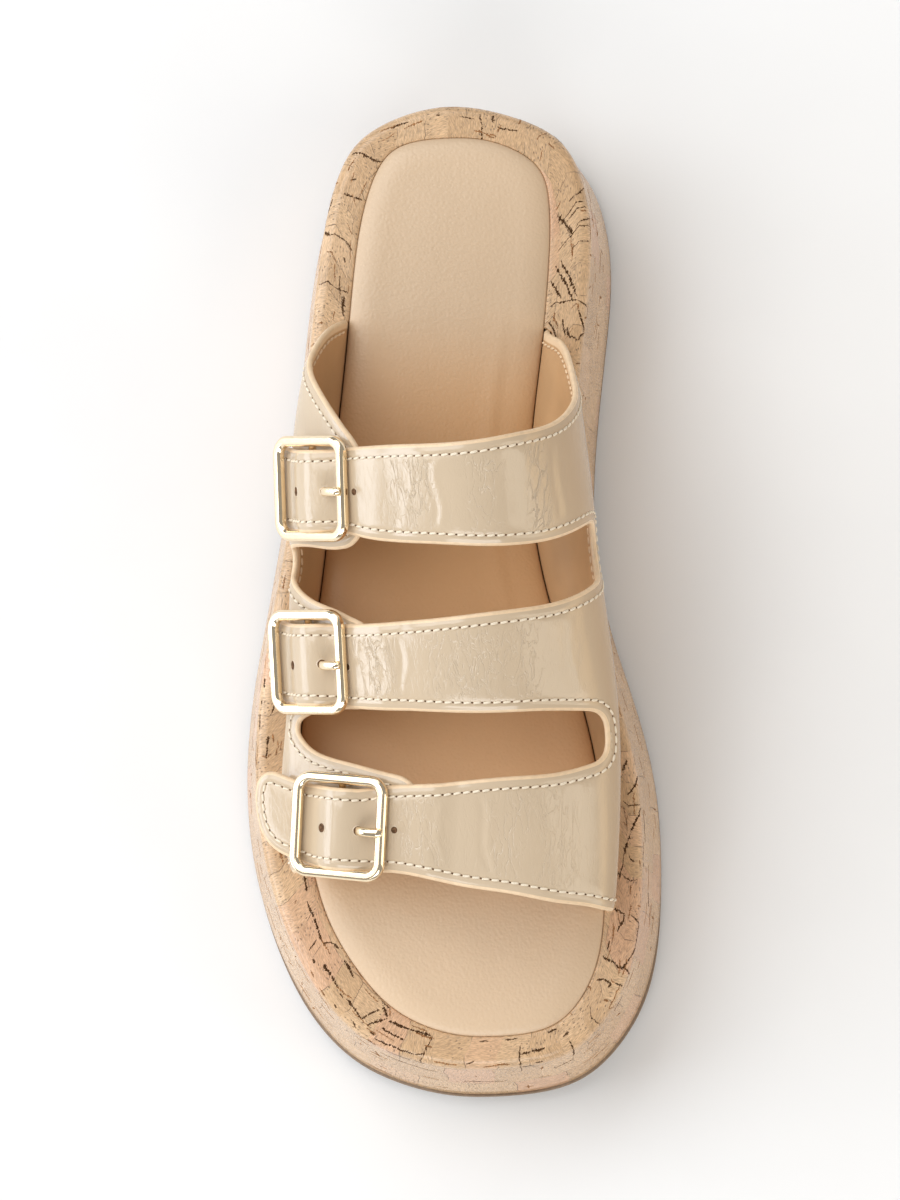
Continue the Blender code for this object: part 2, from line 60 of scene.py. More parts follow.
# sole in mm; pairs are a way in from the edge and a height
GAP = 0.3
OUTSOLE_THICK = 4.0
OUTSOLE_EDGE = ((0.4, 0.5), (0.2, 1.2), (0.0, 2.2), (0.0, 3.4))
OUTSOLE_FOOT_IN = 0.9
OUTSOLE_TOP_IN = 0.2
SHOW = 0.1
TOE_SHOW = 0.55
TOE_SHOW_FROM = -75.0
TOE_SHOW_RUN = 35.0
FLARE = 4.6
FLARE_BOW = 0.16
SIDE_FOOT = ((1.0, 0.0), (0.3, 0.35), (0.0, 1.0))
RIM_ROUND = 3.2
RECESS = 5.0
RECESS_GAP = 0.05
LIP_OUT = 0.5
LIP_RISE = 0.05
RECESS_LIP = ((0.2, -0.05), (0.0, -0.3), (0.0, -2.5), (0.0, -RECESS))
QUARTER_ROOM = 2.2
QUARTER_EASE = 0.9
PAD_EDGE = 8.0
PAD_RISE = 2.2
PAD_SEAM = 0.5
PAD_CROWN = 0.3
PAD_CROWN_RUN = 14.0
PAD_ARCH = 0.6
PAD_ARCH_FRONT = -25.0
PAD_ARCH_RUN = 30.0
PAD_ARCH_BACK = 85.0
PAD_ARCH_BACK_RUN = 40.0
PAD_ARCH_EDGE = 4.0
PAD_ARCH_WIDE = 5.5
PAD_SHARES = (0.01, 0.03, 0.06, 0.1, 0.15, 0.21, 0.28, 0.36, 0.46, 0.58, 0.72, 0.86, 1.0)
ARCH_RISE = 2.2
ARCH_FROM_TO = (48.0, -8.0)
TOE_SPRING = 4.5
TOE_SPRING_FROM = -92.0
TOE_SPRING_RUN = 42.0
GROOVE_WIDTH = 3.0
GROOVE_DEPTH = 1.5
GROOVE_WALL = 0.5
GROOVES = (118.0, 107.0, 96.0, 85.0, 74.0, -18.0, -29.0, -40.0, -51.0, -62.0, -73.0, -84.0)

# scattered cracks on the wrap's map in mm; a crack's section is its side and height at five points
CRACK_SEED = 11
CRACK_COUNT = 330
CRACKS_ON_SIDE = 170
CRACK_SIDE = (-29, -6)
CRACK_RIM = (-5, 9)
CRACK_STEPS = 33
CRACK_WIDTH = 0.72
CRACKS_ALONG = 0.7
CRACK_TURN = 0.2
CRACK_SQUEEZE = 0.6
CRACK_LENGTH = (1.5, 7)
CRACK_THICK = (0.2, 0.5)
CRACK_SECTION = ((-1, -0.01), (0, 0.05), (1, -0.01), (0, -0.06), (-1, -0.01))
WRAP_UNIT = 100.0
WRAP_STEP = 0.3

# upper in mm and in shares v of the way round the foot's section
SIDE_BASE = (GAP - RECESS, -2.0, 3.0)
LAP = 1.2
LAP_RAMP = 9.0
LAP_CLEAR = 1.0
BRIDGE = 5.1
BRIDGE_HALF = 11.0
REACH = 55.0
FLATTEN = 0.3
TIP_ROUND = 8.0
TIP_SPARE = 5.0
TIP_SWEEP = 3.2
SWEEP_FROM = 7.0
SWEEP_RUN = 18.0
BEND_FROM = 9.0
BEND_RUN = 9.0
TAB_ROUND = 0.14
BASE_V = 9.0
SPLIT_V = 4.6
TAB_SPLIT_V = 3.52
STEP_V = 0.004
STEP_Y = 0.05
CREASE_REACH = 45.0
CREASE_CLEAR = (2.5, 3.0)
CRINKLE_CLEAR = (2.2, 1.5)
CRINKLE_LEAST = 0.12
SWELL_RUN = 5.0
EDGE_DROP = 0.22
EDGE_RUN = 0.9
EDGE_BULGE = 0.48
STRAP_COLUMNS = 45
TAB_COLUMNS = 41
STRAP_SEWN_TO_V = 8.2
TAB_SEWN_FROM_V = 1.2
STITCH_GROOVE = 0.10
STITCH_GROOVE_HALF = 0.5
THREAD_SINK = 0.02
THREAD_RISE = 0.10
THREAD_LEAN = 0.14
THREAD_SHARE = 0.385
DISH_LONG = 1.15
NEEDLE_DISH = ((0.0, 0.04), (0.24, 0.05), (0.34, -0.06))
HOLE_LIP = ((1.35, -0.08), (1.2, 0.07), (1.05, 0.09), (0.95, 0.06), (0.8, 0.04), (0.0, 0.03))
PRONG_HOLE_WIDE = 1.35
PRONG_HOLE_WITHIN = 8.0
HOLE_CENTRED_FROM = 9.0

# buckles in mm
FRAME_HALF = 12.4
FRAME_SHIFT = 0.7
FRAME_CORNER = 3.8
FRAME_LEVEL = 4.9
BAR_LEVEL = 3.7
BAR_RADIUS = 1.0
PRONG_SIZE = 2.2
PRONG_LOOP = 1.75
PRONG_REST = 0.85
HOLE_AT = 5.0
SPARE_HOLE_AT = 5.8

# points round or along a shape
EDGE_STEPS = 241
BASE_STEPS = 97
OUTSOLE_STEPS = 541
RIM_STEPS = 261
WAY_STEPS = 400
OUTSOLE_ACROSS = 17
PAD_ACROSS = 45
END_ACROSS = 9

# closest points, in mm on a loop and in metres in a mesh
SAME_PLACE = 1e-5
SAME_POINT = 2e-6
NO_LENGTH = 1e-7

# stage in metres
FLOOR_HALF = 4.0
AIM = (0.0, 0.0, 0.04)
CAMERA_AT = (0.0554, -0.2243, 1.2178)
CAMERA_FORWARD = (-0.04437, 0.18251, -0.98354)
CAMERA_UP = (0.03437, 0.98421, 0.17365)
SENSOR = 36.0
WHITE = (1.0, 1.0, 1.0)

# softbox, place, width and height, tint, spread
SOFTBOXES = (
    ("left", (-2.16, 0.08, 0.53), (1.76, 0.93), (0.91, 1.0, 1.11), np.pi),
    ("high", (-1.36, 0.80, 1.92), (2.4, 1.76), WHITE, np.pi),
    ("strip", (-1.76, -0.22, 1.39), (0.45, 0.38), WHITE, np.pi),
    ("right", (1.79, -0.67, 1.15), (0.8, 1.84), (1.0, 0.94, 0.80), np.pi),
    ("back", (-0.32, 2.4, 2.08), (1.92, 1.28), WHITE, np.pi),
    ("front", (-0.32, -2.16, 1.41), (2.56, 1.12), WHITE, np.pi),
    ("bounce", (0.75, -0.04, 0.15), (0.66, 0.22), (1.0, 0.70, 0.40), np.pi / 2),
)

# plain finish: its second tone as a share of its first, noise scale and detail, soft step between the
# tones, roughness by the noise and at least, height in mm, fixed sockets
PLAIN = {
    "edge_paint": (0.91, 0.6, 3.0, (0.35, 0.7), (0.2, 0.28), 0.08, {"Specular IOR Level": 0.5}),
    "polished_gold": (0.93, 0.6, 4.0, (0.4, 0.7), (0.10, 0.07), None, {"Metallic": 1.0}),
    "thread": (0.86, 5.0, 2.0, (0.4, 0.75), None, 0.08, {"Roughness": 0.6}),
    "dark": (2.2, 1.5, 2.0, (0.4, 0.8), None, None, {"Roughness": 0.9, "Specular IOR Level": 0.05}),
    "floor": (0.985, 0.02, 2.0, (0.3, 0.7), None, None, {"Roughness": 0.75, "Specular IOR Level": 0.2}),
}

# y, outer side x, inner side x
INSOLE_OUTLINE = (
    (122.0, 1.0, 1.0),
    (119.6, -13.0, 15.6),
    (113.6, -18.3, 24.6),
    (102.5, -22.3, 27.9),
    (85.0, -25.4, 27.2),
    (63.0, -28.0, 24.6),
    (39.0, -31.2, 21.2),
    (15.0, -34.2, 21.1),
    (-7.0, -37.6, 25.0),
    (-29.0, -41.6, 31.2),
    (-49.0, -42.9, 35.4),
    (-71.0, -40.9, 37.0),
    (-89.0, -36.2, 36.4),
    (-103.0, -28.3, 33.8),
    (-113.0, -19.0, 28.3),
    (-118.6, -8.1, 21.0),
    (-120.6, 6.5, 6.5),
)
RIM_OUTLINE = (
    (131.5, 1.5, 1.5),
    (128.2, -14.2, 18.0),
    (121.0, -24.7, 31.0),
    (109.0, -30.5, 37.2),
    (93.0, -34.2, 39.0),
    (72.0, -37.2, 37.0),
    (46.0, -40.4, 33.6),
    (20.0, -44.6, 32.2),
    (-6.0, -50.0, 35.2),
    (-30.0, -54.2, 41.8),
    (-52.0, -55.4, 46.4),
    (-74.0, -52.9, 47.2),
    (-94.0, -46.6, 45.3),
    (-110.0, -37.8, 40.2),
    (-121.0, -26.3, 32.2),
    (-127.0, -12.0, 22.5),
    (-129.0, 4.5, 4.5),
)

# y, height of the rim
DECK = (
    (136.0, 44.0),
    (90.0, 43.0),
    (45.0, 40.0),
    (0.0, 36.4),
    (-45.0, 34.3),
    (-90.0, 34.4),
    (-134.0, 37.0),
)

# y, then x and height of: outer wall, outer shoulder, top, inner shoulder, inner wall
SECTIONS = (
    (78.0, -27.6, 14.0, -30.2, 34.0, 4.0, 85.0, 34.0, 50.0, 30.0, 16.0),
    (48.0, -36.6, 14.0, -37.9, 28.0, 6.0, 79.0, 33.5, 46.0, 32.0, 15.0),
    (20.0, -39.5, 13.0, -42.0, 24.5, 7.0, 70.0, 35.5, 43.0, 35.0, 15.0),
    (-8.0, -41.3, 11.0, -42.4, 18.5, 5.0, 60.0, 38.0, 37.0, 37.0, 13.0),
    (-35.0, -44.0, 8.5, -43.4, 13.0, 5.0, 50.0, 40.5, 30.0, 39.6, 11.0),
    (-62.0, -44.6, 7.5, -46.3, 12.8, 8.0, 38.0, 40.5, 25.0, 39.2, 9.5),
    (-95.0, -37.0, 7.0, -40.0, 11.0, 9.0, 30.0, 38.0, 21.0, 36.0, 8.5),
)

# v, then y of the back and front edges of the rear, middle and front straps
STRAP_EDGES = (
    (3.60, 29.2, 10.2, -13.7, -32.9, -57.8, -77.2),
    (3.80, 28.4, 9.0, -15.2, -34.8, -57.8, -77.4),
    (4.05, 26.6, 4.8, -16.8, -37.0, -57.6, -78.6),
    (4.30, 24.9, 2.3, -17.6, -38.8, -58.0, -82.2),
    (4.65, 24.8, 0.6, -17.1, -40.0, -57.5, -85.3),
    (5.00, 27.5, 1.6, -15.3, -39.5, -56.7, -87.8),
    (5.30, 31.2, 4.5, -12.4, -39.0, -54.5, -88.6),
    (5.60, 36.7, 8.0, -8.8, -38.7, -52.3, -89.4),
    (6.00, 45.5, 11.0, -5.2, -38.7, -51.0, -89.2),
    (6.40, 56.0, 11.0, -5.2, -38.7, -51.0, -88.7),
    (7.00, 63.0, 11.0, -5.2, -38.7, -51.0, -88.0),
    (8.00, 67.0, 11.0, -5.2, -38.7, -51.0, -87.0),
    (9.00, 68.0, 11.0, -5.2, -38.7, -51.0, -86.5),
)
# v, then y of the back and front edges of the rear, middle and front tabs
TAB_EDGES = (
    (0.00, 71.4, 9.5, 2.0, -35.6, -41.5, -73.6),
    (1.30, 71.2, 9.5, 2.0, -35.6, -41.5, -74.0),
    (2.00, 68.8, 9.5, 2.0, -35.6, -41.5, -74.6),
    (2.50, 65.2, 9.5, 2.0, -35.6, -41.5, -75.2),
    (3.00, 58.0, 9.3, 0.2, -35.6, -41.5, -75.8),
    (3.30, 51.6, 8.5, -4.0, -35.4, -42.0, -76.2),
    (3.55, 44.2, 7.0, -8.3, -35.0, -46.6, -76.6),
    (3.75, 35.6, 5.2, -11.8, -35.0, -49.7, -76.8),
    (3.90, 29.0, 5.0, -15.2, -36.0, -52.0, -77.0),
    (4.05, 27.5, 5.0, -16.5, -37.4, -54.7, -77.8),
    (4.25, 26.0, 5.0, -17.5, -38.6, -57.2, -80.2),
)
STRAP_GAP_ENDS = ((6.08, 0.42), (5.66, 0.30))
TAB_GAP_ENDS = ((2.85, 0.50), (3.28, 0.24))

# name, v where the strap leaves the foot, its slant to the heel in degrees, way to the buckle's middle,
# way on to the tip, bend of the tip in degrees, v of the tab's end
STRAPS = (
    ("rear", 3.74, 10.0, 5.5, 25.0, 36.0, 3.94),
    ("middle", 3.62, 8.0, 2.6, 24.0, 38.0, 3.99),
    ("front", 3.90, 9.5, 6.3, 25.5, 4.0, 4.20),
)

# strap, v where the crease crosses it, lean across the strap in mm, depth in mm, half width in mm
CREASES = (
    (0, 4.16, 1.5, 0.16, 0.9),
    (0, 4.34, -2.0, 0.20, 1.0),
    (0, 4.86, 1.0, 0.14, 1.1),
    (0, 5.22, -1.5, 0.18, 1.2),
    (1, 4.04, 1.0, 0.18, 0.9),
    (1, 4.14, -1.0, 0.14, 0.8),
    (1, 4.80, 2.0, 0.16, 1.2),
    (1, 5.20, -1.5, 0.14, 1.1),
    (2, 4.24, 1.0, 0.14, 0.9),
    (2, 4.52, -1.5, 0.16, 1.1),
    (2, 5.16, 2.0, 0.16, 1.2),
)

# strap, v in the middle of a crinkled band, its half width in v, how crinkled it is
CRINKLES = (
    (0, 4.20, 0.14, 1.0),
    (0, 4.67, 0.13, 0.6),
    (0, 5.06, 0.10, 0.95),
    (1, 3.95, 0.15, 1.0),
    (1, 4.55, 0.30, 0.5),
    (1, 4.90, 0.10, 0.6),
    (2, 4.16, 0.16, 0.4),
    (2, 4.70, 0.16, 0.5),
    (2, 5.02, 0.20, 0.45),
)

# cracks of the cork on the wrap's map in mm: way round and way in at both ends, thickness
CRACKS = (
    (43.0, 8.4, 48.5, 5.4, 1.0),
    (48.5, 5.4, 54.0, 2.4, 0.9),
    (57.0, 7.7, 73.0, -0.4, 0.6),
    (57.0, 10.0, 72.7, 1.4, 0.6),
    (60.0, 11.6, 69.0, 6.3, 0.5),
    (68.0, 10.8, 68.4, 8.4, 0.4),
    (74.5, 5.8, 81.0, 3.4, 0.6),
    (73.0, 10.2, 77.6, 8.4, 0.55),
    (77.6, 8.4, 80.6, 9.0, 0.5),
    (79.0, 3.0, 83.2, 1.2, 0.55),
    (76.5, -1.0, 82.0, -4.0, 0.6),
    (82.0, -4.0, 84.6, -1.6, 0.5),
    (84.6, -1.6, 83.2, 1.2, 0.45),
    (81.0, 6.4, 85.2, 5.0, 0.5),
    (84.0, 3.0, 90.0, 1.6, 0.55),
    (68.4, 8.4, 74.0, -0.5, 0.35),
    (74.0, -0.5, 75.0, -4.0, 0.35),
    (51.0, -4.6, 53.2, 1.5, 0.35),
    (43.0, -4.0, 45.0, 0.0, 0.4),
    (45.0, 0.0, 44.5, 2.7, 0.3),
    (47.0, -2.0, 47.0, 5.0, 0.3),
    (48.5, -3.0, 48.5, 5.0, 0.3),
    (53.5, -4.0, 53.5, 9.0, 0.3),
    (57.5, -3.0, 57.5, 3.0, 0.3),
    (28.0, -4.0, 31.0, -4.2, 0.6),
    (20.5, 7.2, 25.0, 7.5, 0.35),
    (25.0, 7.5, 28.5, 9.4, 0.4),
    (28.5, 9.4, 30.5, 9.8, 0.4),
    (8.2, -1.0, 9.3, 2.0, 0.35),
    (9.3, 2.0, 9.4, 7.6, 0.4),
    (12.0, -1.6, 12.2, 0.6, 0.5),
    (13.5, 1.5, 19.5, 0.7, 0.35),
    (3.0, 0.3, 7.0, 0.6, 0.25),
    (603.6, -0.4, 604.6, -0.2, 0.5),
    (596.0, -0.3, 591.4, -0.4, 0.5),
    (578.8, -2.5, 582.6, 3.0, 0.5),
    (582.6, 3.0, 587.5, 8.0, 0.5),
    (568.0, 0.0, 571.5, 4.6, 0.45),
    (571.8, 5.0, 575.0, 8.8, 0.35),
    (566.5, -3.0, 562.5, -4.0, 0.7),
    (560.8, -4.6, 559.4, -4.6, 0.5),
    (557.2, -3.4, 556.2, -1.2, 0.9),
    (556.2, -1.2, 559.5, 5.4, 0.4),
    (559.5, 5.4, 560.0, 9.0, 0.5),
    (554.9, 5.4, 554.2, 6.4, 0.8),
    (549.0, 4.5, 543.0, 5.5, 0.4),
    (545.2, 7.3, 539.4, 7.2, 1.4),
    (542.5, -2.5, 544.2, 2.7, 0.35),
    (544.2, 2.7, 547.5, 9.0, 0.35),
    (573.0, 1.0, 575.6, 3.2, 0.3),
    (435.0, -2.5, 432.4, -2.2, 0.7),
    (429.0, -2.6, 428.0, -2.4, 0.9),
    (428.0, 2.0, 425.0, 1.0, 0.6),
    (425.5, -2.7, 421.0, -2.3, 0.45),
    (419.4, 0.2, 417.0, 0.3, 0.9),
    (417.0, 0.2, 413.4, 0.0, 0.5),
    (418.5, -4.0, 411.5, -4.7, 0.45),
    (376.4, 7.0, 372.0, 6.6, 0.65),
    (370.0, 5.6, 364.6, 6.0, 0.6),
    (364.4, 6.0, 358.0, 5.0, 0.65),
    (358.0, 5.0, 354.4, 8.0, 0.35),
    (354.4, 8.0, 352.4, 8.6, 0.6),
    (360.0, 0.2, 360.0, 4.0, 0.35),
    (357.6, 0.0, 356.4, 0.2, 0.8),
    (353.9, 2.1, 352.2, 1.9, 1.0),
    (353.4, 2.0, 346.5, 1.8, 0.6),
    (349.2, 8.2, 343.8, 7.2, 0.6),
    (345.4, 1.2, 344.0, 1.2, 0.4),
    (343.0, 1.7, 336.6, 0.6, 0.55),
    (344.6, -1.8, 343.6, -2.2, 0.7),
    (338.2, -1.5, 336.4, -2.5, 0.4),
    (336.6, 0.6, 335.7, 2.3, 0.45),
    (335.7, 2.3, 333.2, 5.4, 0.45),
    (334.6, 0.0, 330.2, 4.6, 0.5),
    (332.6, 6.5, 330.4, 4.8, 0.8),
    (334.6, 8.0, 330.6, 7.2, 0.55),
    (329.7, 4.0, 323.4, 4.2, 0.6),
    (323.4, 4.2, 317.2, 4.2, 0.7),
    (330.6, 1.6, 324.0, 1.0, 0.55),
    (333.0, -1.0, 331.4, -1.0, 0.5),
    (331.3, -1.8, 326.4, -1.6, 0.6),
    (326.4, -1.6, 320.2, -1.8, 0.55),
    (332.6, -4.0, 330.2, -4.4, 0.55),
    (327.4, -4.6, 321.0, -5.2, 0.6),
    (320.0, -1.8, 318.0, -1.0, 0.4),
    (319.6, -4.6, 317.2, -5.0, 0.5),
    (317.0, 4.0, 318.4, -4.8, 0.3),
    (304.7, -1.2, 306.7, -2.2, 0.35),
    (329.0, -10.0, 314.0, -11.0, 0.3),
    (247.5, 8.0, 243.0, 1.8, 0.45),
    (243.0, 1.8, 249.4, 3.6, 0.6),
    (241.5, -0.8, 243.4, -4.2, 0.35),
    (243.4, -4.2, 249.4, -4.4, 0.7),
    (249.4, -4.4, 255.4, -1.4, 0.75),
    (254.9, -1.7, 256.0, -1.0, 1.1),
    (254.2, 5.9, 257.2, 6.5, 0.65),
    (260.5, 7.8, 256.4, 2.0, 0.5),
    (256.4, 2.0, 255.4, -1.0, 0.5),
    (255.4, -1.0, 256.2, -6.0, 0.4),
    (266.5, 6.4, 263.0, 3.5, 0.4),
    (263.0, 3.5, 260.4, 0.0, 0.4),
    (262.3, 0.6, 260.6, 0.0, 0.6),
    (260.0, -0.8, 259.7, -3.5, 0.5),
    (261.5, -8.0, 266.0, -8.0, 0.4),
    (281.0, 1.5, 279.0, 1.7, 0.8),
    (289.6, 0.3, 286.0, 0.3, 0.7),
    (292.8, 0.0, 289.8, 0.1, 0.45),
    (292.8, -4.9, 289.5, -4.7, 0.75),
    (289.1, -3.3, 287.1, -3.6, 0.6),
    (285.4, -13.0, 280.4, -12.0, 0.55),
    (293.0, 2.5, 292.9, -9.5, 0.3),
    (279.2, 0.0, 280.4, -9.5, 0.35),
    (271.0, 3.0, 271.0, -4.0, 0.25),
    (285.6, 4.3, 283.0, 4.4, 0.6),
    (305.0, 4.3, 302.4, 4.3, 0.4),
    (298.0, 4.4, 294.4, 4.5, 0.4),
    (308.0, -18.0, 297.0, -18.0, 0.3),
    (200.2, -1.2, 203.7, 0.9, 0.6),
    (199.0, -5.0, 201.6, -5.0, 0.5),
    (204.3, -5.0, 209.7, 0.3, 0.65),
    (213.0, 2.5, 212.2, -4.0, 0.3),
    (213.0, -4.0, 219.8, 0.0, 0.6),
    (219.8, 0.0, 226.8, 3.0, 0.6),
    (226.4, 2.8, 227.6, 3.2, 1.0),
    (214.6, 2.4, 219.6, 1.5, 0.35),
    (227.6, 3.2, 231.4, 4.0, 0.4),
    (231.4, 4.0, 238.0, 6.3, 0.45),
    (237.7, 8.0, 235.0, 5.0, 0.5),
    (235.0, 5.0, 232.0, -2.0, 0.35),
    (226.7, 1.0, 227.5, -1.0, 0.5),
    (224.4, -5.4, 226.6, -4.8, 0.7),
    (227.2, -6.0, 228.4, -6.0, 0.6),
    (215.5, -9.0, 221.5, -9.0, 0.5),
    (234.0, -14.0, 237.6, -16.0, 0.6),
)

# outline of a frame bar's section in shares of half its width and height: flat top, broad bevels
FRAME_OUTLINE = (
    (0.50, 1.00),
    (0.25, 1.00),
    (-0.25, 1.00),
    (-0.50, 1.00),
    (-0.58, 0.97),
    (-0.90, 0.52),
    (-0.97, 0.42),
    (-1.00, 0.30),
    (-1.00, -0.50),
    (-0.92, -0.80),
    (-0.70, -1.00),
    (0.70, -1.00),
    (0.92, -0.80),
    (1.00, -0.50),
    (1.00, 0.30),
    (0.97, 0.42),
    (0.90, 0.52),
    (0.58, 0.97),
)


def length_of(label, words, value):
    """A length property with its default in metres."""
    return FloatProperty(name=label, description=words, default=value, unit="LENGTH")


class SandalSizes(bpy.types.PropertyGroup):
    """Sizes of the finish that a user would change."""

    wall: length_of("Strap wall", "Thickness of straps and tabs", 0.0018)
    padding: length_of("Strap padding", "How far a strap swells inside its stitching", 0.00022)
    stitch_pitch: length_of("Stitch pitch", "Distance between needle holes", 0.00255)
    stitch_inset: length_of("Stitch inset", "Distance of the stitching from an edge", 0.0021)
    thread: length_of("Thread", "Thickness of the sewing thread", 0.0007)
    punch: length_of("Punched hole", "Diameter of the holes in a strap", 0.0017)
    punch_pitch: length_of("Hole pitch", "Distance between the holes in a strap", 0.0092)
    frame_wide: length_of("Frame width", "Width of a buckle frame's bars", 0.0028)
    frame_thick: length_of("Frame thickness", "Thickness of a buckle frame's bars", 0.0024)


def colour_of(label, words, value):
    """A colour property with its default."""
    return FloatVectorProperty(
        name=label, description=words, default=value, size=3, min=0, max=1, subtype="COLOR"
    )


class SandalColours(bpy.types.PropertyGroup):
    """Colours of the finish that a user would change."""

    patent: colour_of("Patent", "Straps and quarters", (0.548, 0.43, 0.300))
    edge: colour_of("Edge paint", "Painted edges of straps and quarters", (0.79, 0.585, 0.376))
    lining: colour_of("Lining", "Inside of straps and quarters", (0.57, 0.345, 0.170))
    thread: colour_of("Thread", "Sewing thread", (0.84, 0.73, 0.57))
    # needle colour: painted shade, the dark inside of needle and punched holes
    needle: colour_of("Needle holes", "Inside of needle and punched holes", (0.10, 0.055, 0.03))
    footbed: colour_of("Footbed", "Padded insole", (0.68, 0.503, 0.337))
    cork_tan: colour_of("Cork tan", "Middle tone of the cork print", (0.555, 0.362, 0.204))
    cork_pink: colour_of("Cork pink", "Reddish patches of the cork print", (0.60, 0.366, 0.220))
    cork_pale: colour_of("Cork pale", "Pale patches of the cork print", (0.610, 0.408, 0.238))
    crack: colour_of("Cracks", "Cracks and pores of the cork print", (0.060, 0.029, 0.012))
    rubber: colour_of("Rubber", "Outsole", (0.215, 0.15, 0.10))
    gold: colour_of("Gold", "Polished buckle plate", (0.94, 0.78, 0.55))


def power_of(label, words, value):
    """A lamp's power property with its default in watts."""
    return FloatProperty(name=label, description=words, default=value, unit="POWER")


class SandalStage(bpy.types.PropertyGroup):
    """Floor, light and lens."""

    floor: colour_of("Floor", "Plain pale floor", (0.85, 0.85, 0.85))
    left: power_of("Left light", "Power of the low left softbox", 20.5)
    high: power_of("High light", "Power of the high left softbox", 37.0)
    strip: power_of("Strip light", "Power of the small left softbox", 1.2)
    right: power_of("Right light", "Power of the tall right softbox", 8.2)
    back: power_of("Back light", "Power of the softbox past the heel", 11.5)
    front: power_of("Front light", "Power of the softbox past the toe", 32.0)
    bounce: power_of("Bounce", "Power of the warm card on the right", 0.20)
    sky: FloatProperty(name="Room light", description="Strength of the white room", default=0.34)
    lens: FloatProperty(name="Lens", description="Focal length in millimetres", default=135.0)


def table(rows, at):
    """The columns after the first as natural cubic splines of the first, at the places asked for."""
    rows = np.asarray(rows, float)
    rows = rows[np.argsort(rows[:, 0])]
    knots = rows[:, 0]
    values = rows[:, 1:]
    at = np.clip(np.asarray(at, float), knots[0], knots[-1])
    step = np.diff(knots)[:, None]
    rise = np.diff(values, axis=0) / step
    count = len(knots)
    inside = np.arange(1, count - 1)
    system = np.eye(count)
    system[inside, inside - 1] = step[:-1, 0]
    system[inside, inside] = 2 * (step[:-1, 0] + step[1:, 0])
    system[inside, inside + 1] = step[1:, 0]
    right = np.zeros_like(values)
    right[inside] = 6 * np.diff(rise, axis=0)
    bend = np.linalg.solve(system, right)
    i = np.clip(np.searchsorted(knots, at) - 1, 0, count - 2)
    h = step[i]
    left = (knots[i + 1] - at)[:, None] / h
    rest = 1 - left
    curve = left * values[i] + rest * values[i + 1]
    return curve + ((left**3 - left) * bend[i] + (rest**3 - rest) * bend[i + 1]) * h**2 / 6


def smooth(share):
    """Soft step from 0 to 1: 3 s squared minus 2 s cubed."""
    share = np.clip(share, 0, 1)
    return share * share * (3 - 2 * share)


def sides(rows, places):
    """Outer and inner side points of an outline on one closed spline, at shares of the way from heel
    to toe."""
    rows = np.asarray(rows, float)
    outer = rows[:, (1, 0)]
    inner = rows[:, (2, 0)]
    chords = np.linalg.norm(np.diff((outer, inner), axis=1), axis=2).sum(axis=0)
    knots = np.concatenate(([0], np.cumsum(chords) / 2))
    length = knots[-1]
    loop = np.concatenate((inner, outer[-2:0:-1]))
    turns = np.concatenate((knots, 2 * length - knots[-2:0:-1]))
    turns = np.concatenate((turns - 2 * length, turns, turns + 2 * length))
    closed = np.column_stack((turns, np.concatenate((loop, loop, loop))))
    places = np.asarray(places, float) * length
    return table(closed, 2 * length - places), table(closed, places)


def ring(rows, places):
    """The outline as one loop: heel, inner side, toe, outer side."""
    outer, inner = sides(rows, places)
    return np.concatenate((inner, outer[-2:0:-1]))


def grown(loop, by):
    """A loop moved outwards, square to its own run, by one distance or by one a point."""
    along = np.roll(loop, -1, axis=0) - np.roll(loop, 1, axis=0)
    out = np.column_stack((-along[:, 1], along[:, 0]))
    out /= np.linalg.norm(out, axis=1)[:, None]
    return loop + out * np.broadcast_to(by, len(loop))[:, None]


def deck(y):
    """Height of the platform's rim."""
    y = np.asarray(y, float)
    return table(DECK, y.ravel())[:, 0].reshape(y.shape)


def ground(y):
    """Height of the walking face: flat at heel and ball, a sine arch between them, a parabola at the
    toe."""
    y = np.asarray(y)
    back, front = ARCH_FROM_TO
    arch = ARCH_RISE * np.sin(np.pi * np.clip((y - front) / (back - front), 0, 1)) ** 2
    spring = np.clip((TOE_SPRING_FROM - y) / TOE_SPRING_RUN, 0, None)
    return arch + TOE_SPRING * spring**2


def tread(y):
    """Walking face with its grooves: a trapezoid of the distance to the nearest groove."""
    off = np.abs(np.asarray(y)[..., None] - np.asarray(GROOVES)).min(axis=-1)
    return ground(y) + GROOVE_DEPTH * smooth((GROOVE_WIDTH / 2 - off) / GROOVE_WALL)


def by_length(side):
    """Points of one side of an outline in order of y."""
    return side[np.argsort(side[:, 1])]


EDGE = grown(ring(INSOLE_OUTLINE, np.linspace(0, 1, EDGE_STEPS)), GAP)
EDGE_OUTER = by_length(EDGE[: EDGE_STEPS - 2 : -1])
EDGE_INNER = by_length(EDGE[:EDGE_STEPS])
BASE = grown(ring(RIM_OUTLINE, np.linspace(0, 1, BASE_STEPS)), FLARE)
CENTRE = np.append((BASE.max(axis=0) + BASE.min(axis=0)) / 2, 0.0)


def section(y):
    """Control points of the foot's section, from the outer base over the top to the inner base."""
    points = np.empty((len(y), 11, 2))
    points[:, :3, 0] = np.interp(y, EDGE_OUTER[:, 1], EDGE_OUTER[:, 0])[:, None]
    points[:, 8:, 0] = np.interp(y, EDGE_INNER[:, 1], EDGE_INNER[:, 0])[:, None]
    points[:, :3, 1] = SIDE_BASE
    points[:, 8:, 1] = SIDE_BASE[::-1]
    points[:, 3:8] = table(SECTIONS, y).reshape(-1, 5, 2)
    points[:, :, 1] += deck(y)[:, None]
    return points


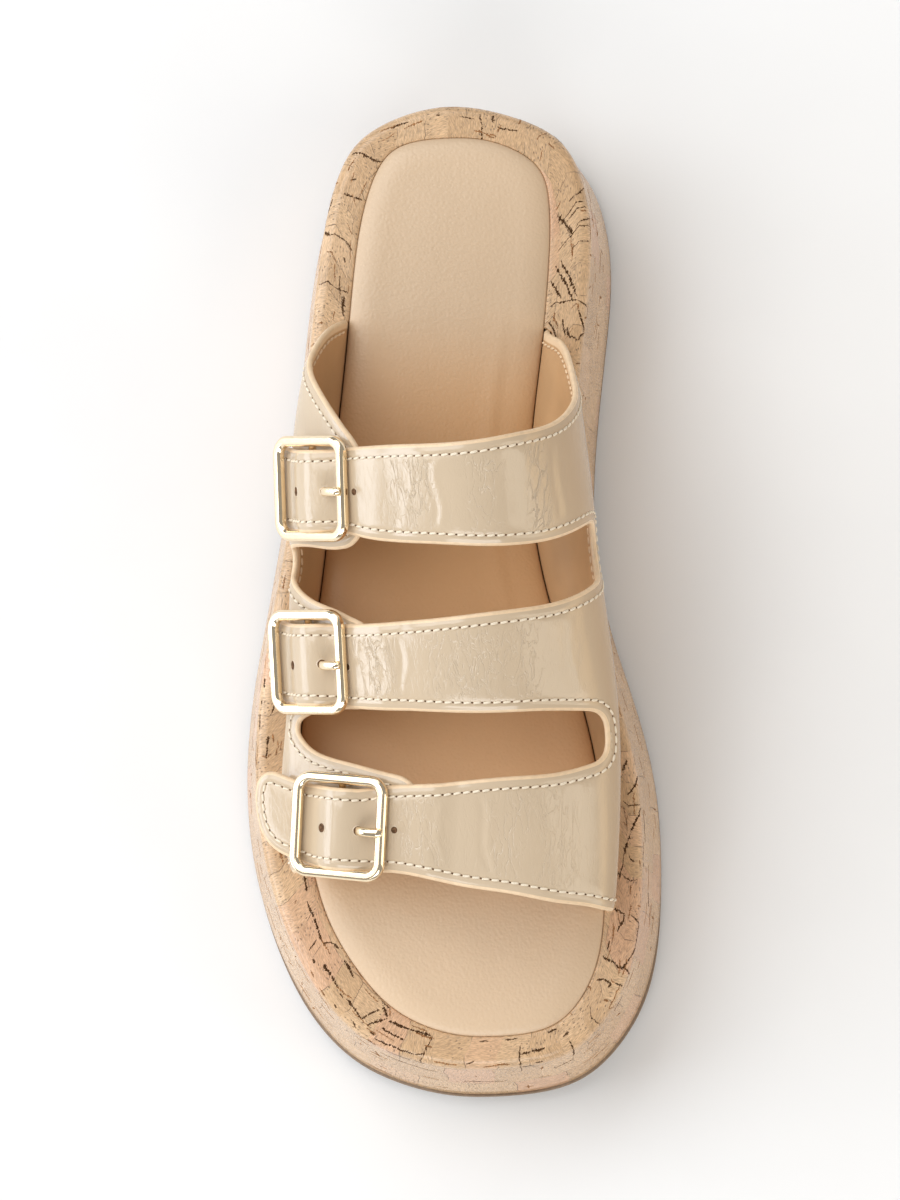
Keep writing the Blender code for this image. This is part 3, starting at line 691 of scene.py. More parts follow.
def last(v, y):
    """Point of the foot's surface: v runs 0 to 9 round the section at y, a quadratic spline of its
    points."""
    v, y = np.broadcast_arrays(np.asarray(v, float), np.asarray(y, float))
    shape = v.shape
    v = v.ravel()
    y = y.ravel()
    points = section(y)
    row = np.arange(len(v))
    i = np.clip(v.astype(int), 0, 8)
    t = (v - i)[:, None]
    corner = points[row, i + 1]
    start = np.where((i == 0)[:, None], points[row, 0], (points[row, i] + corner) / 2)
    end = np.where((i == 8)[:, None], points[row, 10], (corner + points[row, i + 2]) / 2)
    at = (1 - t) ** 2 * start + 2 * t * (1 - t) * corner + t**2 * end
    return np.column_stack((at[:, 0], y, at[:, 1])).reshape(shape + (3,))


def unit(vectors):
    """Vectors scaled to length 1."""
    return vectors / np.linalg.norm(vectors, axis=-1, keepdims=True)


def slopes(surface, v, y):
    """Central differences of a surface along v and along y."""
    along_v = (surface(v + STEP_V, y) - surface(v - STEP_V, y)) / (2 * STEP_V)
    along_y = (surface(v, y + STEP_Y) - surface(v, y - STEP_Y)) / (2 * STEP_Y)
    return along_v, along_y


def outward(surface, v, y):
    """Unit normals of a surface of v and y: the cross product of its slopes."""
    return unit(np.cross(*slopes(surface, v, y)))


def middle_line(k, v):
    """y of the middle of strap k at v."""
    return table(STRAP_EDGES, v)[:, 2 * k : 2 * k + 2].mean(axis=1)


def strap_axes(k):
    """Where strap k leaves the foot, its ways down, across and out, that line's run a mm of y, and
    its y."""
    leave = STRAPS[k][1]
    middle = middle_line(k, [leave])[0]
    v = np.array([leave - STEP_V, leave + STEP_V, leave, leave, leave])
    y = np.array([middle, middle, middle - 1, middle + 1, middle])
    at = last(v, y)
    down = unit(at[0] - at[1])
    across = at[3] - at[2]
    across = unit(across - down * (across @ down))
    slant = math.radians(STRAPS[k][2])
    cos = math.cos(slant)
    sin = math.sin(slant)
    down, across = down * cos + across * sin, across * cos - down * sin
    return at[4], down, across, np.cross(across, down), (at[3] - at[2]) / 2, middle


def buckle_axes(k):
    """Middle of strap k's buckle on the foot's surface, and its ways down, across and out."""
    base, down, across, up = strap_axes(k)[:4]
    return base + down * STRAPS[k][3], down, across, up


def lift(way, tab_end):
    """Height of a strap's underside over the foot: a step onto the tab and a squared cosine over the
    bar."""
    lap = LAP * smooth((tab_end + LAP_RAMP + LAP_CLEAR - way) / LAP_RAMP)
    bridge = np.cos(np.pi / 2 * np.clip(way / BRIDGE_HALF, -1, 1)) ** 2
    return lap + (BRIDGE - LAP) * bridge


def strap_surface(k):
    """Strap k's underside: on the foot down to where it leaves it, then straight on, its tip bent
    down."""
    leave, _, seat, tip, bend, tab_v = STRAPS[k][1:]
    base, down, across, up, run, middle = strap_axes(k)
    ways = np.linspace(0, seat + tip + TIP_SPARE, WAY_STEPS)
    turns = math.radians(bend) * smooth((ways - seat - BEND_FROM) / BEND_RUN)
    along = np.concatenate(([0], np.cumsum(np.cos(turns[1:])))) * ways[1]
    fall = np.concatenate(([0], np.cumsum(np.sin(turns[1:])))) * ways[1]
    tab_end = seat + (tab_v - leave) * REACH

    def surface(v, y):
        v, y = np.broadcast_arrays(np.asarray(v, float), np.asarray(y, float))
        on = np.maximum(v, leave)
        way = (leave - np.minimum(v, leave)) * REACH
        turn = np.interp(way, ways, turns)[..., None]
        flat = smooth(1 - (on - leave) / FLATTEN)[..., None]
        free = np.cos(turn) * up + np.sin(turn) * down
        normal = flat * free + (1 - flat) * outward(last, on, y)
        inwards = seat - way + (on - leave) * REACH - (y - middle) * (run @ down)
        point = last(on, y) + flat * (base + (y - middle)[..., None] * run - last(leave, y))
        point = point + np.interp(way, ways, along)[..., None] * down
        point = point - np.interp(way, ways, fall)[..., None] * up
        point = point + TIP_SWEEP * smooth((way - seat - SWEEP_FROM) / SWEEP_RUN)[..., None] * across
        return point + lift(inwards, tab_end)[..., None] * normal

    return surface


def narrowed(share):
    """Width left at a share of the way into a rounded end: a quarter of a superellipse."""
    return (1 - np.clip(share, 0, 1) ** 2.5) ** 0.4


def comb_edges(rows, ends, sign, v, tips, rounds):
    """Back and front edges of three teeth at v. Gaps close and tips round off as superellipses."""
    edges = np.empty((len(v), 3, 2))
    for k in range(3):
        held = np.maximum(v, STRAPS[k][1]) if sign > 0 else v
        edges[:, k] = table(rows, held)[:, 2 * k : 2 * k + 2]
    for gap, (end, length) in enumerate(ends):
        open_by = narrowed(sign * (v - end) / length + 1)
        middle = (edges[:, gap, 1] + edges[:, gap + 1, 0]) / 2
        edges[:, gap, 1] = middle + (edges[:, gap, 1] - middle) * open_by
        edges[:, gap + 1, 0] = middle + (edges[:, gap + 1, 0] - middle) * open_by
    for k in range(3):
        left = narrowed(1 - sign * (v - tips[k]) / rounds[k])
        middle = edges[:, k].mean(axis=1, keepdims=True)
        edges[:, k] = middle + (edges[:, k] - middle) * left[:, None]
    return edges


def grid_faces(rows, columns, start=0):
    """Corner numbers of the quads of a grid of points stored row by row."""
    index = np.arange(rows * columns).reshape(rows, columns) + start
    quads = np.stack((index[:-1, :-1], index[1:, :-1], index[1:, 1:], index[:-1, 1:]), axis=-1)
    return quads.reshape(-1, 4)


def gridded(points):
    """A grid of points, rows by columns, as points and quads."""
    return points.reshape(-1, 3), grid_faces(*points.shape[:2])


def stacked(*axes):
    """Arrays of one coordinate each as one array of points."""
    return np.stack(np.broadcast_arrays(*axes), axis=-1)


def copies(shape, centre, along, side, up):
    """A small grid of points set down at each centre, its coordinates taken along, sideways and up."""
    rows, columns = shape.shape[-3:-1]
    axes = np.stack((along, side, up), axis=1)[:, None]
    points = centre[:, None, None] + shape @ axes
    return points.reshape(-1, 3), repeated_faces(rows, columns, len(centre))


def repeated_faces(rows, columns, count):
    """Quads of several equal grids of points, stored one after the other."""
    starts = np.arange(count)[:, None, None] * rows * columns
    return (grid_faces(rows, columns)[None] + starts).reshape(-1, 4)


def skin(rings):
    """A skin through rings of equal count: one grid whose last column lies on its first."""
    return gridded(np.concatenate((rings, rings[:, :1]), axis=1))


def level_ring(loop, z):
    """A flat loop at one height or at one a point."""
    return np.column_stack((loop, np.broadcast_to(z, len(loop))))


def across_loop(loop, columns):
    """Flat points on straight lines from a loop's outer to its inner side, heel to toe."""
    count = len(loop) // 2 + 1
    outer = loop[(-np.arange(count)) % len(loop)]
    inner = loop[:count]
    share = np.linspace(0, 1, columns)[None, :, None]
    return outer[:, None] + (inner - outer)[:, None] * share


def distance_to(points, path):
    """Distance of each point from the nearest point of a path, in blocks of rows."""
    best = [
        (block**2).sum(1)[:, None] + (path**2).sum(1)[None] - 2 * block @ path.T
        for block in np.array_split(points, len(points) // 4000 + 1)
    ]
    return np.sqrt(np.maximum(np.concatenate([squares.min(axis=1) for squares in best]), 0))


def superellipse(count, power):
    """Points round a unit superellipse: signed powers of cosine and sine."""
    turn = 2 * np.pi * np.arange(count) / count
    c = np.sign(np.cos(turn)) * np.abs(np.cos(turn)) ** power
    s = np.sign(np.sin(turn)) * np.abs(np.sin(turn)) ** power
    return np.column_stack((c, s))


def rod(path, across, wide, high, outline, shut):
    """A rod along a path: an outline, wide along the path's side and high along across, at each
    point."""
    if shut:
        along = np.roll(path, -1, axis=0) - np.roll(path, 1, axis=0)
    else:
        along = np.gradient(path, axis=0)
    side = unit(np.cross(along, across))
    upward = unit(np.cross(side, along))
    wide = np.broadcast_to(wide, len(path))[:, None, None]
    high = np.broadcast_to(high, len(path))[:, None, None]
    points = path[:, None] + side[:, None] * (wide / 2 * outline[None, :, :1])
    points = points + upward[:, None] * (high / 2 * outline[None, :, 1:])
    if shut:
        return skin(np.concatenate((points, points[:1])))
    ends = path[[0, -1], None].repeat(len(outline), axis=1)
    return skin(np.concatenate((ends[:1], points, ends[1:])))


class Shade:
    """A socket in a material's node tree. Sums, differences and products of shades and numbers add
    Math nodes."""

    def __init__(self, tree, socket=None):
        self.tree = tree
        self.socket = socket

    def make(self, kind, settings, sockets, output=0):
        """Adds a node, sets it, fills or links its sockets, and gives one of its outputs."""
        node = self.tree.nodes.new("ShaderNode" + kind)
        for name, value in settings.items():
            setattr(node, name, value)
        for name, value in sockets.items():
            if isinstance(value, Shade):
                self.tree.links.new(value.socket, node.inputs[name])
            else:
                node.inputs[name].default_value = value
        return Shade(self.tree, node.outputs[output])

    def math(self, operation, first, second):
        """A Math node of two shades or numbers."""
        return self.make("Math", {"operation": operation}, {0: first, 1: second})

    def __add__(self, other):
        return self.math("ADD", self, other)

    def __sub__(self, other):
        return self.math("SUBTRACT", self, other)

    def __rsub__(self, other):
        return self.math("SUBTRACT", other, self)

    def __mul__(self, other):
        return self.math("MULTIPLY", self, other)

    def __abs__(self):
        return self.math("ABSOLUTE", self, 0.0)

    def vector(self, operation, other):
        """A Vector Math node of this and another vector."""
        return self.make("VectorMath", {"operation": operation}, {0: self, 1: other})

    def stretched(self, scale):
        """A vector multiplied along each axis."""
        return self.vector("MULTIPLY", scale)

    def axis(self, letter):
        """One coordinate of a vector."""
        return self.make("SeparateXYZ", {}, {"Vector": self}, letter)

    def channel(self, name):
        """One channel of a colour."""
        return self.make("SeparateColor", {}, {"Color": self}, name)

    def step(self, low, high):
        """Soft step from 0 at low to 1 at high."""
        settings = {"interpolation_type": "SMOOTHSTEP", "clamp": True}
        return self.make("MapRange", settings, {"Value": self, "From Min": low, "From Max": high})

    def noise(self, scale, detail=2.0, distortion=0.0):
        """Noise at this vector stretched by a scale, about 0 to 1."""
        at = self.stretched(scale)
        sockets = {"Vector": at, "Scale": 1.0, "Detail": detail, "Distortion": distortion}
        return self.make("TexNoise", {"noise_dimensions": "3D"}, sockets)

    def tones(self, low, high, first, second):
        """Two plain colours, the second past a soft step of this shade."""
        sockets = {0: self.step(low, high), 6: colour(first), 7: colour(second)}
        return self.make("Mix", {"data_type": "RGBA"}, sockets, 2)

    def mix(self, other, factor, blend="MIX"):
        """This colour mixed with another by a factor."""
        settings = {"data_type": "RGBA", "blend_type": blend, "clamp_factor": True}
        return self.make("Mix", settings, {0: factor, 6: self, 7: other}, 2)

    def bump(self):
        """A normal from this height in millimetres."""
        return self.make("Bump", {}, {"Height": self, "Distance": MM, "Strength": 1.0})


def finish(name, paint, fixed):
    """A Principled material: fixed socket values, and sockets painted over the surface."""
    made = bpy.data.materials.get(name)
    if made:
        return made
    made = bpy.data.materials.new(name)
    made.use_nodes = True
    shader = made.node_tree.nodes["Principled BSDF"]
    for socket, value in fixed.items():
        shader.inputs[socket].default_value = value
    for socket, shade in paint(Shade(made.node_tree)).items():
        made.node_tree.links.new(shade.socket, shader.inputs[socket])
    return made


def colour(value):
    """A colour property with full alpha."""
    return (*value, 1.0)


def toned(value, *by):
    """A colour times one factor, or times a factor for each channel, no channel over 1."""
    return [min(1.0, c * factor) for c, factor in zip(value, by * (3 // len(by)))]


def even(scale):
    """The same scale along each axis."""
    return (scale, scale, scale)


def attribute(root, name):
    """A number that the mesh holds for each point."""
    return root.make("Attribute", {"attribute_name": name}, {}, "Fac")


def facing(root, letter):
    """One coordinate of the surface's normal."""
    return root.make("NewGeometry", {}, {}, "Normal").axis(letter)


def millimetres(root):
    """Object coordinates in millimetres."""
    return root.make("TexCoord", {}, {}, "Object").stretched(even(1 / MM))


def plain_finish(kind, value, name=None):
    """A plain material of the PLAIN table: two tones, roughness and height by one noise."""
    second, scale, detail, step, rough, height, fixed = PLAIN[kind]

    def paint(root):
        grain = millimetres(root).noise(even(scale), detail)
        sockets = {"Base Color": grain.tones(*step, value, toned(value, second))}
        if rough:
            sockets["Roughness"] = grain * rough[0] + rough[1]
        if height:
            sockets["Normal"] = (grain * height).bump()
        return sockets

    return finish(name or kind, paint, fixed)


def patent_finish(colours):
    """Glossy coat over beige: long crinkles across each strap, a finer net of wrinkles, and slow waves,
    with painted shade: crinkle lines a little darker, and faces turned to the inner side darker and warmer."""

    def paint(root):
        at = millimetres(root)
        line = 1 - abs(at.noise((0.50, 0.075, 0.50), 3.0, 0.7) - 0.5).step(0.0, 0.05)
        net = 1 - abs(at.noise((0.85, 0.24, 0.85), 2.0, 0.8) - 0.5).step(0.0, 0.06)
        patches = at.noise((0.10, 0.05, 0.10), 1.0).step(0.28, 0.58)
        where = attribute(root, "crinkle") * (patches * 0.6 + 0.4)
        waves = at.noise((0.08, 0.05, 0.08), 1.0)
        pores = at.noise(even(2.4))
        height = waves * 0.09 - line * where * 0.15 - net * where * 0.035 + pores * 0.006
        base = at.noise(even(0.03)).tones(0.3, 0.7, colours.patent, toned(colours.patent, 1.05))
        # painted shade: crinkle lines are a little darker, as shade in their creases
        base = base.mix(colour(toned(colours.patent, 0.72)), line * where * 0.10)
        # painted shade: faces turned to the inner side (+x) go darker and warmer, as shade lit by warm
        # reflected light
        painted_side_shade = toned(colours.patent, 0.86, 0.74, 0.58)
        base = base.mix(colour(painted_side_shade), facing(root, "X").step(0.55, 0.95) * 0.85)
        return {"Base Color": base, "Roughness": pores * 0.06 + 0.095, "Normal": height.bump()}

    return finish("patent", paint, {"IOR": 1.54, "Specular IOR Level": 0.58})


def lining_finish(colours):
    """Matt warm lining with a fine grain, the edge paint turned in over its border."""

    def paint(root):
        at = millimetres(root)
        grain = at.noise(even(2.2), 3.0)
        tone = at.noise((0.08, 0.05, 0.08))
        base = tone.tones(0.3, 0.7, colours.lining, toned(colours.lining, 0.86))
        base = base.mix(colour(colours.edge), 1 - attribute(root, "edge").step(1.0, 1.5))
        return {"Base Color": base, "Roughness": grain * 0.2 + 0.38, "Normal": (grain * 0.05).bump()}

    return finish("lining", paint, {"Specular IOR Level": 0.4})


def footbed_finish(colours):
    """Smooth leather: fine pebbled grain, faint pull lines across, a slow change of tone, and painted shade
    under the straps: a warmer, deeper tone, deepest up to the rear one."""

    def paint(root):
        at = millimetres(root)
        cells = {"Vector": at.stretched(even(1.25)), "Scale": 1.0, "Randomness": 1.0}
        pebble = root.make("TexVoronoi", {"feature": "SMOOTH_F1"}, cells, "Distance")
        pull = at.noise((0.10, 0.55, 0.3), 2.0, 0.5)
        tone = at.noise((0.022, 0.016, 0.02))
        base = tone.tones(0.3, 0.7, colours.footbed, toned(colours.footbed, 0.93))
        y = at.axis("Y")
        # painted shade: from the front strap to behind the rear one the footbed is painted warmer and
        # darker, standing in for the straps' shadow and the warm light bounced under them
        strap_shade = y.step(-95.0, -62.0) * (1 - y.step(22.0, 76.0))
        warm = toned(colours.footbed, 1.12, 0.93, 0.70)
        under = toned(warm, 0.78, 0.74, 0.69)
        collar_shade = toned(under, 0.80, 0.77, 0.73)
        # the three tones are painted shade, each darker than the one before, deepest near the rear strap
        # and the collar
        base = base.mix(colour(warm), strap_shade * 0.8)
        base = base.mix(colour(under), strap_shade * y.step(-52.0, -14.0) * 0.8)
        base = base.mix(colour(collar_shade), strap_shade * y.step(0.0, 28.0) * 0.7)
        height = pebble * 0.09 + pull * 0.05
        return {"Base Color": base, "Roughness": pebble * 0.12 + 0.32, "Normal": height.bump()}

    return finish("footbed", paint, {"Specular IOR Level": 0.42})


def cork_finish(colours):
    """Cork print on the wrap's own map: blocks laid like bricks, each with a tint and a grain of its
    own, streaks and short hairs along the grain, pores, and dark joins here and there."""

    def paint(root):
        at = root.make("UVMap", {"uv_map": "wrap"}, {}).stretched((WRAP_UNIT, WRAP_UNIT, 0.0))
        wobble = {"Vector": at, "Scale": 0.12, "Detail": 3.0}
        wobble = root.make("TexNoise", {"noise_dimensions": "2D"}, wobble, "Color")
        wobble = wobble.vector("SUBTRACT", (0.5, -2.0, 0.5)).stretched((2.4, 2.4, 0.0))
        course = {"offset": 0.43, "offset_frequency": 2, "squash": 0.7, "squash_frequency": 3}
        brick = {"Vector": at.vector("ADD", wobble), "Color1": (0, 0, 0, 1), "Color2": (1, 1, 1, 1)}
        brick.update({"Mortar": (0.5, 0.5, 0.5, 1), "Scale": 1.0, "Mortar Size": 0.0})
        brick.update({"Brick Width": 12.0, "Row Height": 14.0})
        number = root.make("TexBrick", course, brick, "Color").channel("Red")
        brick.update({"Mortar Size": 0.10, "Mortar Smooth": 0.5})
        join = root.make("TexBrick", course, brick, "Fac")
        chance = root.make("TexWhiteNoise", {"noise_dimensions": "1D"}, {"W": number * 917.3}, "Color")
        first, second, third = [chance.channel(name) for name in ("Red", "Green", "Blue")]
        angle = first.step(0.48, 0.52) * 1.57 + (second - 0.5) * 0.7
        grain = root.make("VectorRotate", {"rotation_type": "Z_AXIS"}, {"Vector": at, "Angle": angle})
        pits = {"Vector": grain.stretched((0.50, 0.80, 1.0)), "Scale": 1.0}
        pit = root.make("TexVoronoi", {"voronoi_dimensions": "2D"}, pits, "Distance")
        pore = (1 - pit.step(0.10, 0.18)) * at.noise((0.13, 0.13, 1.0)).step(0.46, 0.58)
        fleck = grain.noise((0.40, 3.0, 1.0), 2.0, 0.4).step(0.62, 0.70) * second.step(0.35, 0.65)
        join = join * at.noise((0.14, 0.14, 1.0)).step(0.46, 0.56)
        dark = root.math("MAXIMUM", fleck * 0.45, join * 0.7)
        dark = root.math("MAXIMUM", dark, pore * 0.62)
        base = second.tones(0.25, 0.45, colours.cork_pink, colours.cork_pale)
        base = base.mix(colour(colours.cork_tan), third.step(0.55, 0.65))
        streak = grain.noise((0.36, 1.7, 1.0), 3.0, 0.9)
        hair = grain.noise((0.80, 4.2, 1.0), 3.0)
        cloud = at.noise((0.10, 0.10, 1.0), 3.0)
        shade = streak.step(0.32, 0.68) * 0.20 + hair.step(0.38, 0.62) * 0.32 + cloud * 0.28 + 0.62
        base = base.mix(shade, 1.0, "MULTIPLY")
        base = base.mix(colour(colours.crack), dark)
        height = streak * 0.06 + hair * 0.03 - dark * 0.10
        return {"Base Color": base, "Roughness": dark * 0.25 + 0.24, "Normal": height.bump()}

    return finish("cork_print", paint, {"Specular IOR Level": 0.5})


def rubber_finish(colours):
    """Matt rubber with fine ribs across the walking face."""

    def paint(root):
        at = millimetres(root)
        dust = at.noise(even(1.1), 3.0)
        under = 0.0 - facing(root, "Z")
        rib = root.math("SINE", at.axis("Y") * (2 * math.pi / 2.2), 0.0)
        height = rib * under.step(0.6, 0.9) * 0.12 + dust * 0.05
        base = dust.tones(0.35, 0.75, colours.rubber, toned(colours.rubber, 1.35))
        return {"Base Color": base, "Roughness": dust * 0.2 + 0.55, "Normal": height.bump()}

    return finish("rubber", paint, {"Specular IOR Level": 0.35})


def put(name, points, faces, materials, face_material=None, wrap=None, marks=None, turn=True):
    """A smooth mesh object from points in mm and quads. Doubles merge and, for closed skins, faces
    turn out."""
    mesh = bpy.data.meshes.new(name)
    mesh.from_pydata(((np.asarray(points) - CENTRE) * MM).tolist(), [], np.asarray(faces).tolist())
    for material in materials:
        mesh.materials.append(material)
    if face_material is not None:
        mesh.polygons.foreach_set("material_index", np.asarray(face_material, np.int32))
    if wrap is not None:
        corners = np.empty(len(mesh.loops), np.int32)
        mesh.loops.foreach_get("vertex_index", corners)
        layer = mesh.uv_layers.new(name="wrap")
        layer.data.foreach_set("uv", np.asarray(wrap, np.float32)[corners].ravel())
    for mark, values in (marks or {}).items():
        layer = mesh.attributes.new(mark, "FLOAT", "POINT")
        layer.data.foreach_set("value", np.asarray(values, np.float32))
    work = bmesh.new()
    work.from_mesh(mesh)
    bmesh.ops.remove_doubles(work, verts=work.verts, dist=SAME_POINT)
    bmesh.ops.dissolve_degenerate(work, edges=work.edges, dist=NO_LENGTH)
    if turn:
        bmesh.ops.recalc_face_normals(work, faces=work.faces)
    work.to_mesh(mesh)
    work.free()
    mesh.polygons.foreach_set("use_smooth", np.ones(len(mesh.polygons), bool))
    made = bpy.data.objects.new(name, mesh)
    bpy.context.scene.collection.objects.link(made)
    return made


def stand_for(made, slot, *nodes):
    """The piece rides on the shoe and stands for its solids. Its slot is not used."""
    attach(made, BODY)
    if nodes:
        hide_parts(*nodes)


def join(parts):
    """Several (points, faces) as one pair."""
    starts = np.cumsum([0] + [len(points) for points, _ in parts[:-1]])
    points = np.concatenate([points for points, _ in parts])
    faces = np.concatenate([faces + start for (_, faces), start in zip(parts, starts)])
    return points, faces


def outsole_shape():
    """Rings up the edge of the rubber and two sheets across, the lower one grooved by the tread
    function."""
    rim = ring(RIM_OUTLINE, np.linspace(0, 1, OUTSOLE_STEPS))
    show = SHOW + TOE_SHOW * smooth((TOE_SHOW_FROM - rim[:, 1]) / TOE_SHOW_RUN)
    foot = grown(rim, FLARE - OUTSOLE_FOOT_IN)
    top = grown(rim, FLARE + show - OUTSOLE_TOP_IN)
    rings = [level_ring(foot, tread(foot[:, 1]))]
    for inwards, height in OUTSOLE_EDGE:
        loop = grown(rim, FLARE + show - inwards)
        rings.append(level_ring(loop, ground(loop[:, 1]) + height))
    rings.append(level_ring(top, ground(top[:, 1]) + OUTSOLE_THICK))
    parts = [skin(np.array(rings))]
    for loop, height in ((foot, tread), (top, lambda y: ground(y) + OUTSOLE_THICK)):
        flat = across_loop(loop, OUTSOLE_ACROSS)
        parts.append(gridded(np.dstack((flat, height(flat[..., 1])))))
    return join(parts)


def recess_loop(bed):
    """The recess stands off the insole by a gap, with room for the upper's wall where a quarter goes
    down."""
    y = bed[:, 1]
    inner = bed[:, 0] > table([(r[0], (r[1] + r[2]) / 2) for r in INSOLE_OUTLINE], y)[:, 0]
    back = np.where(inner, STRAP_EDGES[-1][1], TAB_EDGES[0][1])
    front = np.where(inner, STRAP_EDGES[-1][6], TAB_EDGES[0][6])
    share = smooth((back + QUARTER_EASE - y) / QUARTER_EASE)
    share = share * smooth((y - front + QUARTER_EASE) / QUARTER_EASE)
    return grown(bed, RECESS_GAP + QUARTER_ROOM * share)


def platform_rings():
    """Rings up the flared side, over the rounded ridge, across the rim and down into the recess, the
    first point of each repeated at its end, with the number of the ring on top of the ridge."""
    places = np.linspace(0, 1, RIM_STEPS)
    rim = ring(RIM_OUTLINE, places)
    recess = recess_loop(ring(INSOLE_OUTLINE, places))
    base = ground(rim[:, 1]) + OUTSOLE_THICK + GAP
    top = deck(rim[:, 1])
    tall = top - RIM_ROUND - base
    level = deck(recess[:, 1])
    foot = SIDE_FOOT[-1][1]
    rings = []
    for inwards, height in SIDE_FOOT:
        rings.append(level_ring(grown(rim, FLARE - inwards), base + height))
    for share in np.linspace(0.1, 1, 12):
        flare = FLARE * (1 - (1 + FLARE_BOW) * share + FLARE_BOW * share**2)
        rings.append(level_ring(grown(rim, flare), base + foot + (tall - foot) * share))
    for turn in np.linspace(0.12, 1, 9) * math.pi / 2:
        loop = grown(rim, RIM_ROUND * (math.cos(turn) - 1))
        rings.append(level_ring(loop, top - RIM_ROUND * (1 - math.sin(turn))))
    ridge = len(rings) - 1
    lip = level_ring(grown(recess, LIP_OUT), level + LIP_RISE)
    for share in np.linspace(0.15, 1, 6):
        rings.append(rings[ridge] + (lip - rings[ridge]) * share)
    for out, height in RECESS_LIP:
        rings.append(level_ring(grown(recess, out), level + height))
    rings = np.array(rings)
    return np.concatenate((rings, rings[:, :1]), axis=1), ridge


def wrap_map(rings, ridge):
    """The wrap's own map in mm: the way round the ridge, from the heel by the inner side, and the way
    in over the rim from the ridge, negative down the side."""
    steps = np.linalg.norm(np.diff(rings[ridge], axis=0, prepend=rings[ridge][:1]), axis=1)
    climb = np.cumsum(np.linalg.norm(np.diff(rings, axis=0, prepend=rings[:1]), axis=2), axis=0)
    return np.cumsum(steps), climb - climb[ridge]


def platform_shape():
    """Skin over the platform's rings and a sheet across each end, with the wrap's map in its unit."""
    rings, ridge = platform_rings()
    way, climb = wrap_map(rings, ridge)
    parts = [gridded(rings)]
    wrap = [stacked(way, climb).reshape(-1, 2) / WRAP_UNIT]
    for loop in (rings[0, :-1], rings[-1, :-1]):
        sheet = across_loop(loop, END_ACROSS)
        parts.append(gridded(sheet))
        wrap.append(sheet[..., :2].reshape(-1, 2) / WRAP_UNIT)
    return (*join(parts), np.concatenate(wrap))


def on_wrap(rings, way, climb, at_way, at_climb):
    """Points of the wrap at places of its map: straight lines between the nearest rings and columns."""
    at_way = at_way % way[-1]
    column = np.clip(np.searchsorted(way, at_way, side="right") - 1, 0, len(way) - 2)
    over = ((at_way - way[column]) / (way[column + 1] - way[column]))[:, None]

    def on(columns):
        row = np.clip((climb[:, columns] <= at_climb).sum(axis=0) - 1, 0, len(climb) - 2)
        low = climb[row, columns]
        share = ((at_climb - low) / (climb[row + 1, columns] - low))[:, None]
        return rings[row, columns] + (rings[row + 1, columns] - rings[row, columns]) * share

    return on(column) * (1 - over) + on(column + 1) * over


def crack_rows(chance, around):
    """The CRACKS table and rows scattered over the side and the rim: ends on the wrap's map, and
    thickness."""
    count = CRACK_COUNT
    on_side = np.arange(count) < CRACKS_ON_SIDE
    level = np.where(on_side, chance.uniform(*CRACK_SIDE, count), chance.uniform(*CRACK_RIM, count))
    start = np.column_stack((chance.uniform(0, around, count), level))
    turn = np.where(chance.random(count) < CRACKS_ALONG, 0.0, np.pi / 2)
    turn = turn + chance.normal(0, CRACK_TURN, count)
    reach = np.column_stack((np.cos(turn), np.sin(turn) * CRACK_SQUEEZE))
    reach = chance.uniform(*CRACK_LENGTH, count)[:, None] * reach
    scattered = np.column_stack((start, start + reach, chance.uniform(*CRACK_THICK, count)))
    return np.concatenate((np.array(CRACKS), scattered))


def crack_shape():
    """Cracks of the cork: flat closed spindles along jagged lines on the wrap's map, and which are
    faint. The line's offset is a random walk tied at both ends, and the width a taper times noise."""
    rings, ridge = platform_rings()
    way, climb = wrap_map(rings, ridge)
    chance = np.random.default_rng(CRACK_SEED)
    rows = crack_rows(chance, way[-1])
    share = np.linspace(0, 1, CRACK_STEPS)
    run = rows[:, 2:4] - rows[:, :2]
    length = np.linalg.norm(run, axis=1)[:, None]
    side = np.column_stack((-run[:, 1], run[:, 0])) / length
    jag = np.cumsum(chance.normal(0, 1, (len(rows), CRACK_STEPS)), axis=1)
    jag = jag - jag[:, :1] - (jag[:, -1:] - jag[:, :1]) * share
    jag = (jag * 0.06 + chance.normal(0, 0.09, jag.shape)) * np.sqrt(length / 10)
    ragged = np.clip(chance.normal(0.85, 0.5, jag.shape), 0.12, 1.8)
    half = rows[:, 4:] * CRACK_WIDTH * (4 * share * (1 - share)) ** 0.35 * ragged
    line = rows[:, None, :2] + run[:, None] * share[None, :, None] + side[:, None] * jag[..., None]
    over, high = np.array(CRACK_SECTION).T
    spots = line[:, :, None] + side[:, None, None] * (half[..., None] * over)[..., None]
    w = spots[..., 0].ravel()
    c = np.clip(spots[..., 1].ravel(), climb[2].max(), None)

    def on(ahead, above):
        return on_wrap(rings, way, climb, w + ahead, c + above)

    upward = on(0, WRAP_STEP) - on(0, -WRAP_STEP)
    along = on(WRAP_STEP, 0) - on(-WRAP_STEP, 0)
    rise = np.broadcast_to(high, half.shape + high.shape) * (half[..., None] > 0)
    points = on(0, 0) + unit(np.cross(upward, along)) * rise.reshape(-1, 1)
    faces = repeated_faces(CRACK_STEPS, len(high), len(rows))
    faint = np.repeat(np.arange(len(rows)) >= len(CRACKS), len(faces) // len(rows))
    return points, faces, faint


